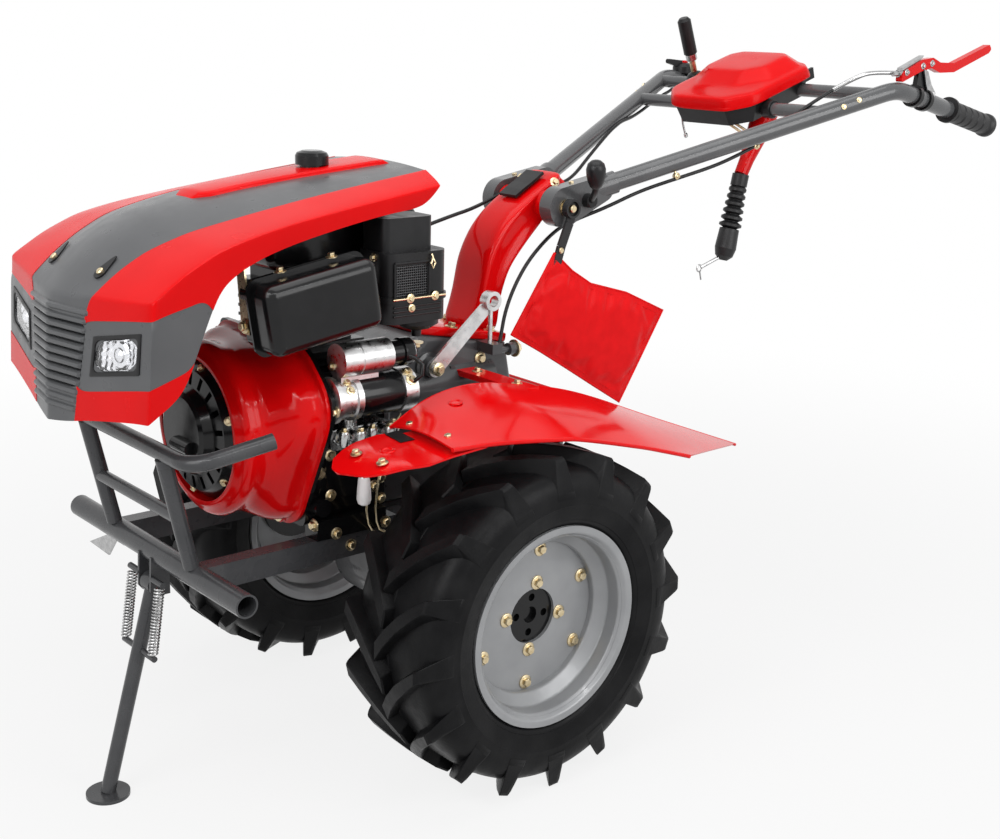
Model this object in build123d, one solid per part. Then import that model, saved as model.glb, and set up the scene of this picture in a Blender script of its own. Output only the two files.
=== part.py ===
"""Two-wheeled walking tractor with an air-cooled diesel engine, parked on its front stand.

Every piece is drawn over a base line that lies AXLE_Z under the wheel axle, about the middle
of the axle: +X forward, +Y to the machine's left, +Z up, in millimetres. Engine and hood are
drawn from the crank axis, and on_engine lifts them to it. At the end all of it moves so that
the wheels stand on the ground and the origin lies under the middle of the machine.
"""
from build123d import *
from math import cos, radians, sin
import os

# Driving dimensions: wheels and axle
TYRE_RADIUS = 287.5
TYRE_WIDTH = 212
LUG_HEIGHT = 21
LUG_COUNT = 18
TRACK = 660
RIM_FLANGE_RADIUS = 169.5
RIM_SEAT_RADIUS = 152
RIM_WELL_RADIUS = 132
RIM_WIDTH = 190
RIM_LIP = 6
RIM_WALL = 4
BEAD_GAP = 0.2
DISC_RECESS = 60
DISC_WALL = 6
DISC_BORE_RADIUS = 47
HUB_RADIUS = 72
HUB_FLANGE = 10
AXLE_Z = 287.5
AXLE_RADIUS = 22
AXLE_HOUSING_HALF = 200
AXLE_RUNNING_GAP = 0.5

# Driving dimensions: engine, gear case and frame
RAIL_TOP = 411
RAIL_Y = 130
RAIL_WIDTH = 30
RAIL_DEPTH = 40
RAIL_REAR = 60
CRANK_ABOVE_RAIL = 174
ENGINE_FOOT = 19
ENGINE_FRONT = 283
ENGINE_REAR = 128
ENGINE_HALF_WIDTH = 128
BLOCK_HEIGHT = 260
BARREL_HEIGHT = 155
SHROUD_DEPTH = 115
SHROUD_MOUTH_RADIUS = 116
CASE_BASE = 420
CASE_HALF_WIDTH = 80
CASE_FRONT = 100
CASE_SEAT = ((24, 708), (-175, 671))
SELECTOR_BOSS = 22
BUMPER_X = 480
BUMPER_DROP = 15
BUMPER_RADIUS = 18.5
BUMPER_LENGTH = 558
GUARD_RADIUS = 12.5
GUARD_HEIGHT = 204
TUBE_WALL = 3
PIN_HOLE_RADIUS = 12.5

# Driving dimensions: hood
HOOD_WALL = 5
HOOD_INLAY = 2
HOOD_NOSE = 649
GRILLE_WALL = 12
GRILLE_SLOTS = 8
GRILLE_SLOT_DEPTH = 8
GRILLE_SLOT_HEIGHT = 6.5
GRILLE_PITCH = 12.5
LENS_RECESS = 3
LENS_DEPTH = 12
ISLAND_RAISE = 6
FILLER_X = 181
FILLER_RADIUS = 20
FILLER_GAP = 10

# Driving dimensions: column, handlebar, fenders and stand
PIVOT_X = -292
PIVOT_Z = 905
PIVOT_PIN_RADIUS = 7
PIVOT_GAP = 0.3
COLUMN_HALF_WIDTH = 58
COLUMN_BOSS = 6
BRACKET_GAP = 0.5
BRACKET_WIDTH = 30
ARM_RADIUS = 17
ARM_START = (-418, 90, 944)
ARM_BEND = (-960, 304, 1116)
GRIP_START = (-1145, 300, 1074)
GRIP_LENGTH = 165
GRIP_RADIUS = 20
CROSS_RADIUS = 13
CONSOLE_SLOPE = 17.7
FENDER_WALL = 3
STAND_X = 487
STAND_DROP = 66
STAND_LEAN = 95
STAND_PIN_RADIUS = 6
STAND_LEG_RADIUS = 12
FOOT_RADIUS = 35
FOOT_THICKNESS = 6
ORIGIN_SHIFT = 325

# Heights that follow from them
CRANK_Z = RAIL_TOP + CRANK_ABOVE_RAIL
BLOCK_BASE = ENGINE_FOOT - CRANK_ABOVE_RAIL
BLOCK_TOP = BLOCK_BASE + BLOCK_HEIGHT
BARREL_TOP = BLOCK_TOP + BARREL_HEIGHT
SHROUD_FRONT = ENGINE_FRONT + SHROUD_DEPTH
BUMPER_Z = RAIL_TOP - BUMPER_DROP
GUARD_TOP = BUMPER_Z + GUARD_HEIGHT
STAND_Z = RAIL_TOP - STAND_DROP
GROUND_Z = AXLE_Z - TYRE_RADIUS
FENDER_LIFT = TYRE_RADIUS - AXLE_Z


def side_face(points):
    """Face in the upright plane along the machine, through (x, z) points."""
    return Plane.XZ * make_face(Polyline(*points, close=True))


def front_face(x, points):
    """Face across the machine at x, through (y, z) points."""
    plane = Plane(origin=(x, 0, 0), x_dir=(0, 1, 0), z_dir=(1, 0, 0))
    return plane * make_face(Polyline(*points, close=True))


def across(face, width, y=0):
    """Solid of a side face, as wide as given and centred on y."""
    return Pos(0, y, 0) * extrude(face, amount=width / 2, both=True)


def rod(start, end, radius):
    """Straight round bar from one point to another."""
    line = Vector(*end) - Vector(*start)
    return extrude(Plane(origin=start, z_dir=line) * Circle(radius), amount=line.length)


def spindle(start, end, profile):
    """Turned piece on the line from start towards end, through (distance, radius) points."""
    line = Vector(*end) - Vector(*start)
    outline = [(0, profile[0][0])] + [(radius, at) for at, radius in profile] + [(0, profile[-1][0])]
    turned_piece = revolve(Plane.XZ * make_face(Polyline(*outline, close=True)), axis=Axis.Z)
    return Plane(origin=start, z_dir=line).location * turned_piece


def link_plate(first, first_radius, second, second_radius, width, y):
    """Flat plate round two (x, z) eyes, as thick as width and centred on y."""
    eyes = (Pos(*first) * Circle(first_radius)).edges() + (Pos(*second) * Circle(second_radius)).edges()
    return across(Plane.XZ * make_hull(eyes), width, y)


def bent_bar(points, radius, bend):
    """Round bar along straight runs that are joined by bends."""
    path = FilletPolyline(*points, radius=bend)
    return sweep(Plane(origin=path @ 0, z_dir=path % 0) * Circle(radius), path=path)


def both_sides(piece):
    """The piece and its mirror image on the other side of the machine."""
    return piece + mirror(piece, about=Plane.XZ)


def turned(points):
    """Solid of revolution about the wheel axle, through (radius, width) points."""
    return revolve(make_face(Polyline(*points, close=True)), axis=Axis.Y)


def at_wheel(piece, side):
    """The piece, made about its own centre, moved to the wheel on the given side."""
    placed = Pos(0, TRACK / 2, AXLE_Z) * piece
    return placed if side > 0 else mirror(placed, about=Plane.XZ)


def on_engine(piece):
    """The piece, drawn from the crank axis, lifted to its height."""
    return Pos(0, 0, CRANK_Z) * piece


def polar(radius, degrees, width):
    """Point of a wheel at a radius, an angle from +X towards +Z and a place along the axle."""
    return Vector(radius * cos(radians(degrees)), width, radius * sin(radians(degrees)))


def faceted(sections, flat):
    """Solid through a row of like polygons; between them, flat quads or pairs of triangles."""
    faces = [Face(Wire.make_polygon(sections[0])), Face(Wire.make_polygon(sections[-1]))]
    for near, far in zip(sections, sections[1:]):
        for i in range(len(near)):
            j = (i + 1) % len(near)
            if flat:
                faces.append(Face(Wire.make_polygon([near[i], near[j], far[j], far[i]])))
            else:
                faces.append(Face(Wire.make_polygon([near[i], near[j], far[j]])))
                faces.append(Face(Wire.make_polygon([near[i], far[j], far[i]])))
    return Solid(Shell(faces))


# Wheels

def lug(at, side):
    """One bar of the tread from past the middle out over the shoulder, swept to the rear."""
    half = TYRE_WIDTH / 2
    crown = TYRE_RADIUS - LUG_HEIGHT
    sections = []
    for width, root, top, turn, foot, crest in (
        (-6, crown - 6, TYRE_RADIUS, 0, 3.6, 2.6),
        (0.4 * half, crown - 8, TYRE_RADIUS - 1.5, 11, 3.8, 2.8),
        (half - 15, crown - 26, TYRE_RADIUS - 7, 20, 4.4, 3.3),
        (half, crown - 52, crown - 20, 21.5, 4.9, 4.0),
    ):
        sections.append([
            polar(root, at + turn - foot, side * width), polar(top, at + turn - crest, side * width),
            polar(top, at + turn + crest, side * width), polar(root, at + turn + foot, side * width),
        ])
    return faceted(sections, flat=False)


def tyre():
    """Lug tyre for soft ground: faceted carcass from bead to crown, with two rows of lugs."""
    half = TYRE_WIDTH / 2
    bead = RIM_WIDTH / 2 - RIM_LIP
    crown = TYRE_RADIUS - LUG_HEIGHT
    sides = 30
    step = 360 / sides
    outer = [(RIM_FLANGE_RADIUS + 1, bead), (RIM_FLANGE_RADIUS + 42, half), (crown - 30, half - 3), (crown - 2, half - 26)]
    rings = [(r, -w) for r, w in outer] + [(r, w) for r, w in reversed(outer)]
    carcass = faceted([[polar(r, step * i, w) for i in range(sides)] for r, w in rings], flat=True)
    bore = (RIM_SEAT_RADIUS + BEAD_GAP) / cos(radians(step / 2))
    carcass -= faceted([[polar(bore, step * i, w) for i in range(sides)] for w in (-half, half)], flat=True)
    pitch = 360 / LUG_COUNT
    left_row = [lug(pitch * i, 1) for i in range(LUG_COUNT)]
    right_row = [lug(pitch * (i + 0.5), -1) for i in range(LUG_COUNT)]
    return carcass.fuse(*left_row, *right_row)


def rim():
    """Pressed drop-centre rim with a flat disc in its well."""
    half = RIM_WIDTH / 2
    lip = half - RIM_LIP
    well = RIM_WELL_RADIUS - RIM_WALL
    seat = RIM_SEAT_RADIUS - RIM_WALL
    outside = [(RIM_FLANGE_RADIUS, lip), (RIM_SEAT_RADIUS, lip), (RIM_SEAT_RADIUS, half - 37), (RIM_WELL_RADIUS, half - 53)]
    inside = [(RIM_FLANGE_RADIUS, half), (seat + 10, half), (seat, half - 11), (seat, half - 35), (well, half - 50)]
    tyre_side = Polyline(*outside, *[(r, -w) for r, w in reversed(outside)])
    air_side = FilletPolyline(*inside, *[(r, -w) for r, w in reversed(inside)], radius=6)
    ends = [Line(tyre_side @ 0, air_side @ 0), Line(tyre_side @ 1, air_side @ 1)]
    barrel = revolve(make_face([*tyre_side.edges(), *air_side.edges(), *ends]), axis=Axis.Y)
    face = half - DISC_RECESS
    disc = turned([
        (DISC_BORE_RADIUS, face - DISC_WALL), (well + 1, face - DISC_WALL), (well + 1, face), (DISC_BORE_RADIUS, face),
    ])
    return barrel + disc


def hub():
    """Cast hub behind the disc, drilled face, with the axle shaft that runs in the housing."""
    back = RIM_WIDTH / 2 - DISC_RECESS - DISC_WALL
    end = AXLE_HOUSING_HALF + AXLE_RUNNING_GAP - TRACK / 2
    body = turned([
        (0, back), (HUB_RADIUS, back), (HUB_RADIUS, back - HUB_FLANGE),
        (AXLE_RADIUS + 14, back - HUB_FLANGE), (AXLE_RADIUS + 10, end), (0, end),
    ])
    drill_depth = 8
    body -= Pos(0, back, 0) * Rot(90, 0, 0) * Cylinder(14, 2 * drill_depth)
    for quarter in range(4):
        hole = polar(30, 5 + 90 * quarter, back)
        body -= Pos(*hole) * Rot(90, 0, 0) * Cylinder(6.5, 2 * drill_depth)
    return body


# Drive train

def axle_housing():
    """Final drive case with an axle tube to each side and ears for the frame rails."""
    case_radius = 92
    case_width = 150
    tube_radius = 38
    case = Plane.XZ * Pos(0, AXLE_Z) * Circle(case_radius)
    neck = side_face([(-case_radius, AXLE_Z), (-case_radius, CASE_BASE), (case_radius, CASE_BASE), (case_radius, AXLE_Z)])
    body = across(case, case_width) + across(neck, case_width)
    cover = across(Plane.XZ * Pos(0, AXLE_Z) * Circle(case_radius - 24), case_width + 16)
    root = case_width / 2 - 5
    seal = spindle((0, root, AXLE_Z), (0, AXLE_HOUSING_HALF, AXLE_Z), [
        (0, tube_radius + 10), (30, tube_radius), (AXLE_HOUSING_HALF - root - 14, tube_radius),
        (AXLE_HOUSING_HALF - root - 14, 56), (AXLE_HOUSING_HALF - root, 56),
    ])
    ear_width = RAIL_Y - RAIL_WIDTH / 2 - root
    ear = Pos(RAIL_REAR + 16, root + ear_width / 2, RAIL_TOP - RAIL_DEPTH / 2) * Box(32, ear_width, RAIL_DEPTH)
    return body + cover + both_sides(seal + ear)


def gearbox():
    """Gear case that stands on the final drive, with the sloped seat of the column."""
    outline = [(CASE_FRONT, CASE_BASE), (CASE_FRONT, 690), *CASE_SEAT, (-190, 600), (-150, CASE_BASE)]
    body = across(side_face(outline), 2 * CASE_HALF_WIDTH)
    body = fillet(body.edges().filter_by(Axis.Y, reverse=True), 10)
    side = CASE_HALF_WIDTH
    lever_boss = spindle((5, side - 5, 652), (5, side + 30, 652), [(0, 24), (10, 24), (12, 17), (SELECTOR_BOSS + 5, 17)])
    rib = Pos(-48, side, 585) * Box(9, 14, 120)
    barrel = rod((-140, side - 22, 612), (CASE_FRONT - 8, side - 22, 612), 40)
    rod_arm = Pos(-118, side + 20, 673) * Box(22, 44, 18)
    ball = spindle((-124, side + 34, 668), (-166, side + 34, 668), [(0, 5), (24, 5), (24, 11), (38, 11)])
    return body + both_sides(barrel + rib) + lever_boss + rod_arm + ball


def clutch_bell():
    """Bell between the engine and the gear case, with its bolting flange."""
    length = ENGINE_REAR - CASE_FRONT
    return on_engine(spindle((CASE_FRONT, 0, 0), (ENGINE_REAR, 0, 0), [(0, 106), (length - 10, 118), (length - 10, 126), (length, 126)]))


def selector_lever():
    """Flat plated lever on the gear case with the rod that it pulls through an arm."""
    thickness = 5
    y = CASE_HALF_WIDTH + SELECTOR_BOSS + thickness / 2
    arm = link_plate((5, 652), 15, (-100, 742), 12, thickness, y)
    ring = rod((-112, y - 6, 757), (-112, y + 12, 757), 17) - rod((-112, y - 8, 757), (-112, y + 14, 757), 10)
    pull_rod = rod((-112, y + 3, 742), (-112, y + 3, 682), 4)
    bolt = rod((5, y, 652), (5, y + 9, 652), 8)
    return arm + ring + pull_rod + bolt - gearbox()


def hitch():
    """Drawbar bracket behind the gear case with an upright pin hole."""
    block = Pos(-200, 0, 440) * Box(124, 70, 60)
    block = fillet(block.edges().filter_by(Axis.Z), 14)
    return block - Pos(-230, 0, 440) * Cylinder(PIN_HOLE_RADIUS, 80) - gearbox()


# Frame

def engine_frame():
    """Two rails under the engine, welded to the bumper tube, with the stand bracket."""
    length = BUMPER_X - RAIL_REAR
    rail = Pos(RAIL_REAR + length / 2, RAIL_Y, RAIL_TOP - RAIL_DEPTH / 2) * Box(length, RAIL_WIDTH, RAIL_DEPTH)
    half = BUMPER_LENGTH / 2
    tube = rod((BUMPER_X, -half, BUMPER_Z), (BUMPER_X, half, BUMPER_Z), BUMPER_RADIUS)
    bore = rod((BUMPER_X, -half, BUMPER_Z), (BUMPER_X, half, BUMPER_Z), BUMPER_RADIUS - TUBE_WALL)
    cheek = across(side_face([
        (STAND_X - 17, BUMPER_Z), (STAND_X + 14, BUMPER_Z), (STAND_X + 17, STAND_Z - 6), (STAND_X + 10, STAND_Z - 15),
        (STAND_X - 17, STAND_Z - 15),
    ]), 5, 20)
    spring_ear = rod((STAND_X + 12, 20, STAND_Z + 15), (STAND_X + 12, 56, STAND_Z + 15), 5)
    pin = rod((STAND_X, -22, STAND_Z), (STAND_X, 22, STAND_Z), STAND_PIN_RADIUS)
    return both_sides(rail) + tube + both_sides(cheek + spring_ear) + pin - bore


def guard():
    """Bent tube guard ahead of the engine, on two uprights with a bar between them."""
    foot_x = BUMPER_X + 8
    head_x = BUMPER_X + 48
    upright = rod((foot_x, RAIL_Y, BUMPER_Z + BUMPER_RADIUS - 2), (head_x, RAIL_Y, GUARD_TOP - 8), GUARD_RADIUS)
    middle_x = (foot_x + head_x) / 2
    middle_z = (BUMPER_Z + GUARD_TOP) / 2 - 2
    middle = rod((middle_x, -RAIL_Y, middle_z), (middle_x, RAIL_Y, middle_z), GUARD_RADIUS - 2)
    wing = (BUMPER_X - 70, 246, GUARD_TOP + 26)
    corner = (head_x, 218, GUARD_TOP)
    top = bent_bar([(wing[0], -wing[1], wing[2]), (corner[0], -corner[1], corner[2]), corner, wing], GUARD_RADIUS, 48)
    return both_sides(upright) + middle + top - engine_frame()


# Engine, drawn from the crank axis

def shroud_outline():
    """Rear edge of the blower shroud, wider on the starter's side, as a face across the engine."""
    outline = make_face(Polyline(
        (-125, 148), (128, 148), (206, 74), (208, 48), (188, 2), (112, -153), (50, -160), (-70, -160),
        (-150, -100), (-165, 30), close=True,
    ))
    return fillet(outline.vertices(), 14)


def across_engine(face, x):
    """The face, drawn as (y, z), set upright across the engine at x."""
    return Plane(origin=(x, 0, 0), x_dir=(0, 1, 0), z_dir=(1, 0, 0)) * face


def crankcase():
    """Engine block on its two feet on the rails, with the side cover and the plate behind the shroud."""
    length = ENGINE_FRONT - ENGINE_REAR
    middle = (ENGINE_FRONT + ENGINE_REAR) / 2
    block = Pos(middle, 0, BLOCK_BASE + BLOCK_HEIGHT / 2) * Box(length, 2 * ENGINE_HALF_WIDTH, BLOCK_HEIGHT)
    block = fillet(block.edges().filter_by(Axis.X), 18)
    foot = Pos(middle, RAIL_Y, BLOCK_BASE - ENGINE_FOOT + 16) * Box(length - 20, 36, 32)
    cover = Pos(middle - 8, ENGINE_HALF_WIDTH, BLOCK_BASE + 84) * Box(100, 16, 82)
    cover = fillet(cover.edges().filter_by(Axis.Y), 16)
    oil_plug = rod((ENGINE_FRONT - 24, ENGINE_HALF_WIDTH - 4, BLOCK_BASE + 34), (ENGINE_FRONT - 24, ENGINE_HALF_WIDTH + 18, BLOCK_BASE + 34), 15)
    ribs = Pos(middle, ENGINE_HALF_WIDTH, BLOCK_BASE + 190) * Box(length - 30, 10, 6)
    ribs += Pos(middle, ENGINE_HALF_WIDTH, BLOCK_BASE + 206) * Box(length - 30, 10, 6)
    back_plate = extrude(across_engine(shroud_outline(), ENGINE_FRONT - 8), amount=8)
    return on_engine(block + both_sides(foot + cover + ribs) + oil_plug + back_plate)


def cylinder():
    """Finned barrel and head under the fuel tank."""
    middle = (ENGINE_FRONT + ENGINE_REAR) / 2
    barrel = Pos(middle, 0, BLOCK_TOP + BARREL_HEIGHT / 2) * Box(110, 130, BARREL_HEIGHT)
    fins = 8
    pitch = (BARREL_HEIGHT - 35) / fins
    for level in range(fins):
        barrel += Pos(middle, 0, BLOCK_TOP + pitch * (level + 0.7)) * Box(138, 164, 5)
    return on_engine(barrel)


def blower_shroud():
    """Pressed cowl that leads the flywheel's air up to the barrel, with a round mouth."""
    drum_radius = SHROUD_MOUTH_RADIUS + 26
    drum = spindle((ENGINE_FRONT, 0, 0), (SHROUD_FRONT, 0, 0), [
        (0, drum_radius + 6), (SHROUD_DEPTH - 14, drum_radius), (SHROUD_DEPTH - 4, drum_radius - 6), (SHROUD_DEPTH, drum_radius - 16),
    ])
    flange = extrude(across_engine(shroud_outline(), ENGINE_FRONT), amount=6)
    cowl = extrude(across_engine(offset(shroud_outline(), -9), ENGINE_FRONT), amount=76, taper=14)
    lip = spindle((SHROUD_FRONT - 4, 0, 0), (SHROUD_FRONT + 6, 0, 0), [(0, SHROUD_MOUTH_RADIUS + 9), (10, SHROUD_MOUTH_RADIUS + 5)])
    mouth = rod((ENGINE_FRONT + 30, 0, 0), (SHROUD_FRONT + 10, 0, 0), SHROUD_MOUTH_RADIUS)
    return on_engine(drum + flange + cowl + lip - mouth)


def recoil_starter():
    """Louvred starter housing in the mouth of the shroud, with its pull handle."""
    radius = SHROUD_MOUTH_RADIUS - 4
    back = ENGINE_FRONT + 30
    depth = SHROUD_FRONT - back
    body = spindle((back, 0, 0), (SHROUD_FRONT, 0, 0), [
        (0, radius), (depth - 6, radius), (depth + 10, radius - 14), (depth + 14, 72), (depth + 28, 66), (depth + 32, 58), (depth + 32, 0.1),
    ])
    louvres = 18
    for i in range(louvres):
        body -= Rot(360 / louvres * i, 0, 0) * Pos(SHROUD_FRONT + 10, 0, 85) * Box(26, 9, 20)
    guide = Pos(SHROUD_FRONT + 22, 0, -20) * Box(26, 30, 22)
    handle = rod((SHROUD_FRONT + 34, -16, -20), (SHROUD_FRONT + 34, 34, -20), 11)
    return on_engine(body + guide + handle)


def muffler():
    """Two pressed halves with a seam between them, on a pipe from the head."""
    middle = Pos(318, 0, 228) * Rot(0, 9, 0)
    outer_half = Pos(0, 228, 0) * Box(196, 52, 108)
    outer_half = fillet(outer_half.edges().filter_by(Axis.Y) + outer_half.edges().group_by(Axis.Y)[-1], 18)
    inner_half = Pos(0, 187, 0) * Box(190, 34, 102)
    inner_half = fillet(inner_half.edges().filter_by(Axis.Y), 18)
    seam = Pos(0, 203, 0) * Box(208, 4, 118)
    seam = fillet(seam.edges().filter_by(Axis.Y), 20)
    pipe = rod((235, 65, 205), (235, 175, 215), 17)
    return on_engine(middle * (outer_half + inner_half + seam) + pipe) - cylinder()


def air_cleaner():
    """Air cleaner: screened body, strap, dust bowl with its drain and a cap on top, on a pipe from the head."""
    centre_x = 129
    centre_y = 176
    body = Pos(centre_x, centre_y, 236) * Box(122, 88, 110)
    body = fillet(body.edges().filter_by(Axis.Z), 24)
    window = Pos(centre_x + 14, centre_y + 44, 248) * Box(58, 6, 48)
    side_screen = Pos(centre_x - 61, centre_y, 248) * Box(6, 40, 48)
    strap = Pos(centre_x, centre_y, 219) * Box(128, 94, 9)
    strap = fillet(strap.edges().filter_by(Axis.Z), 26)
    bowl_x = centre_x - 24
    bowl = spindle((bowl_x, centre_y + 6, 186), (bowl_x, centre_y + 6, 140), [(0, 35), (14, 35), (22, 22), (26, 8), (36, 8)])
    cap = Pos(centre_x + 6, centre_y - 6, 316) * Box(96, 66, 54)
    cap = fillet(cap.edges().filter_by(Axis.Z), 14)
    pipe = rod((165, 65, 215), (165, centre_y - 40, 215), 20)
    return on_engine(body + strap - window - side_screen + bowl + cap + pipe) - cylinder()


def starter_motor():
    """Electric starter with its solenoid, on the back of the shroud's plate."""
    y = 182
    front = ENGINE_FRONT - 8
    motor = spindle((front, y, 67), (front - 155, y, 67), [
        (0, 37), (8, 37), (8, 33), (36, 33), (36, 36), (46, 36), (46, 33), (126, 33), (126, 36), (151, 36), (155, 30),
    ])
    solenoid = spindle((front - 12, y + 8, 130), (front - 160, y + 8, 130), [
        (0, 27), (32, 27), (32, 26), (35, 26), (35, 27), (92, 27), (92, 19), (118, 19), (118, 22), (136, 22), (140, 16),
    ])
    saddle = Pos(front - 50, y + 4, 98) * Box(70, 24, 20)
    return on_engine(motor + solenoid + saddle)


def injection_pump():
    """Injection pump, banjo fittings and the stop handle on the side of the block."""
    side = ENGINE_HALF_WIDTH
    body = Pos(200, side + 20, -4) * Box(120, 40, 34)
    body = fillet(body.edges().filter_by(Axis.Y), 8)
    for x, length in ((246, 24), (222, 36), (196, 30), (168, 38), (150, 22)):
        body += spindle((x, side + 36, 2), (x, side + 90, 2), [(0, 11), (length - 12, 11), (length - 12, 7), (length, 7)])
    plunger = spindle((216, side + 22, 8), (216, side + 22, 60), [(0, 15), (20, 15), (20, 10), (34, 10)])
    hanger = rod((219, side + 36, -12), (219, 200, -20), 4)
    handle = spindle((219, 200, -14), (219, 200, -110), [(0, 3.5), (42, 3.5), (42, 6), (50, 9), (84, 11), (92, 7)])
    return on_engine(body + plunger + hanger + handle)


def fuel_tank():
    """Tank on top of the engine with its filler neck and cap through the hood."""
    base = BARREL_TOP
    depth = 90
    tank = Pos(190, 0, base + depth / 2) * Box(280, 240, depth)
    tank = fillet(tank.edges(), 22)
    neck_top = hood_top(FILLER_X) + 8
    neck = rod((FILLER_X, 0, base + depth - 5), (FILLER_X, 0, neck_top), FILLER_RADIUS)
    cap = spindle((FILLER_X, 0, neck_top), (FILLER_X, 0, neck_top + 22), [(0, 27), (14, 27), (19, 24), (22, 16)])
    pads = Pos(90, 0, base + depth + 30) * Box(24, 120, 80) + Pos(290, 0, base + depth + 30) * Box(24, 120, 80)
    return on_engine(tank + neck + cap + (pads & hood_form(HOOD_WALL)))


# Hood, drawn from the crank axis

HOOD_STATIONS = (
    (40, 412, (130, 405), (186, 387)),
    (287, 391, (141, 373), (211, 359)),
    (455, 369, (141, 352), (230, 332)),
    (547, 357, (113, 307), (237, 282)),
    (660, 215, (107, 211), (243, 217)),
)


def hood_top(x):
    """Height of the hood's middle line at x, between its first two stations."""
    (x0, z0), (x1, z1) = [station[:2] for station in HOOD_STATIONS[:2]]
    return z0 + (z1 - z0) * (x - x0) / (x1 - x0)


def hood_section(x, top, shoulder, crease, inset):
    """Closed cross-section at x: half outline from the ridge to the skirt, mirrored."""
    half = [
        (0, top - inset),
        (shoulder[0] - inset / 2, shoulder[1] - inset),
        (crease[0] - inset, crease[1] - inset),
        (crease[0] - inset - 8, 15),
    ]
    return front_face(x, half + [(-y, z) for y, z in reversed(half[1:])])


def hood_form(inset):
    """Closed form of the hood, drawn in on all sides by the inset."""
    bulk = loft([hood_section(*station, inset) for station in HOOD_STATIONS], ruled=True)
    nose = HOOD_NOSE - inset
    sweep_back = 41 / 240
    wedge = make_face(Polyline(
        (nose, 0), (nose - 400 * sweep_back, 400), (-200, 400),
        (-200, -400), (nose - 400 * sweep_back, -400), close=True,
    ))
    return bulk & extrude(Pos(0, 0, 5) * wedge, amount=460, dir=(-13, 0, 186))


def hood_skirt_cut():
    """What is cut away under the hood's edge, in side view."""
    edge = [
        (700, -25), (700, 15), (646, 55), (605, 91), (549, 125), (527, 166), (492, 251), (466, 286),
        (436, 301), (352, 324), (258, 337), (125, 359), (99, 351), (67, 381), (20, 445), (20, -25),
    ]
    return across(side_face(edge), 700)


GRILLE_TOP = 244


def grille_zone(margin):
    """Front-view band of the grille between the lamp panels, narrower towards the chin."""
    half = [(58 - margin, 20), (77 - margin, 115), (92 - margin, 212), (104 - margin, GRILLE_TOP)]
    return extrude(front_face(560, half + [(-y, z) for y, z in reversed(half)]), amount=140)


def top_zone():
    """Plan-view band of the grey panel over the middle of the hood."""
    edge = [(700, 104), (530, 112), (455, 139), (40, 128)]
    outline = make_face(Polyline(*edge, *[(x, -y) for x, y in reversed(edge)], close=True))
    return extrude(Pos(0, 0, GRILLE_TOP) * outline, amount=300)


def lamp_zone():
    """Band round the nose that holds the lamps, in side view."""
    band = [(700, 36), (628, 115), (599, 147), (524, 163), (470, 215), (490, 251), (592, 236), (619, 212), (700, 140)]
    return across(side_face(band), 700)


def lens_block():
    """Outline of the left lamp in front view, run back through the nose."""
    return extrude(front_face(540, [(111, 196), (216, 216), (214, 160), (103, 139)]), amount=140)


def island_block():
    """Raised red strip along the middle of the top, with a tapered front end, in plan."""
    outline = make_face(Polyline((60, 46), (385, 42), (412, 24), (412, -24), (385, -42), (60, -46), close=True))
    return extrude(Pos(0, 0, GRILLE_TOP) * outline, amount=300)


def hood_pieces():
    """Red shell, grey centre panel with the grille and grey lamp panels, each to its own seat."""
    cut = hood_skirt_cut() + rod((FILLER_X, 0, 300), (FILLER_X, 0, 500), FILLER_RADIUS + FILLER_GAP)
    whole = hood_form(0)
    outer = whole - cut
    skin = outer - hood_form(HOOD_INLAY)
    raised = ((Pos(0, 0, ISLAND_RAISE) * whole) & island_block()) - hood_form(HOOD_WALL) - cut
    slots = None
    for i in range(GRILLE_SLOTS):
        slot = Pos(620, 0, 108 + GRILLE_PITCH * i) * Box(160, 300, GRILLE_SLOT_HEIGHT)
        slots = slot if slots is None else slots + slot
    slots = (slots & grille_zone(9)) - hood_form(GRILLE_SLOT_DEPTH)
    grille = ((outer - hood_form(GRILLE_WALL)) & grille_zone(0)) - slots
    centre = ((skin & top_zone()) - island_block()) + grille
    lenses = both_sides(lens_block())
    lamps = (skin & lamp_zone()) - grille_zone(0) - top_zone()
    shell = outer - hood_form(HOOD_WALL) - grille_zone(0) - centre - lamps - lenses + raised
    return on_engine(shell), on_engine(centre), on_engine(lamps - lenses)


def headlamps():
    """Lens of each lamp, let into its pocket in the nose."""
    glass = hood_form(LENS_RECESS) - hood_form(LENS_RECESS + LENS_DEPTH)
    return on_engine(both_sides(lens_block() & glass))


# Column and handlebar

def column_arch(lift):
    """Arched body of the column, raised by the lift."""
    front = Spline((-40, 706 + lift), (-66, 800 + lift), (-167, 939 + lift), (-271, 975 + lift), (-342, 966 + lift))
    back = Spline((-352, 930 + lift), (-282, 889 + lift), (-219, 803 + lift), (-172, 682 + lift))
    outline = front + Line(front @ 1, back @ 0) + back + Line(back @ 1, front @ 0)
    return across(Plane.XZ * make_face(outline), 2 * COLUMN_HALF_WIDTH)


def column():
    """Arched casting on the gear case that carries the pivot bolt of the handlebar."""
    arch = column_arch(0)
    spine = arch.edges().filter_by(GeomType.BSPLINE).sort_by(Axis.Z)[-2:]
    arch = fillet(spine, 16)
    base_thickness = 16
    seat = list(CASE_SEAT)
    raised_seat = [(x, z + base_thickness) for x, z in reversed(seat)]
    base = across(side_face(seat + raised_seat), 2 * CASE_HALF_WIDTH - 6)
    side = COLUMN_HALF_WIDTH
    boss = rod((PIVOT_X, side - 18, PIVOT_Z), (PIVOT_X, side + COLUMN_BOSS, PIVOT_Z), 26)
    tip = rod((PIVOT_X, side - 18, PIVOT_Z), (PIVOT_X, side + COLUMN_BOSS + 52, PIVOT_Z), PIVOT_PIN_RADIUS)
    return arch + base + both_sides(boss + tip)


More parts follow.
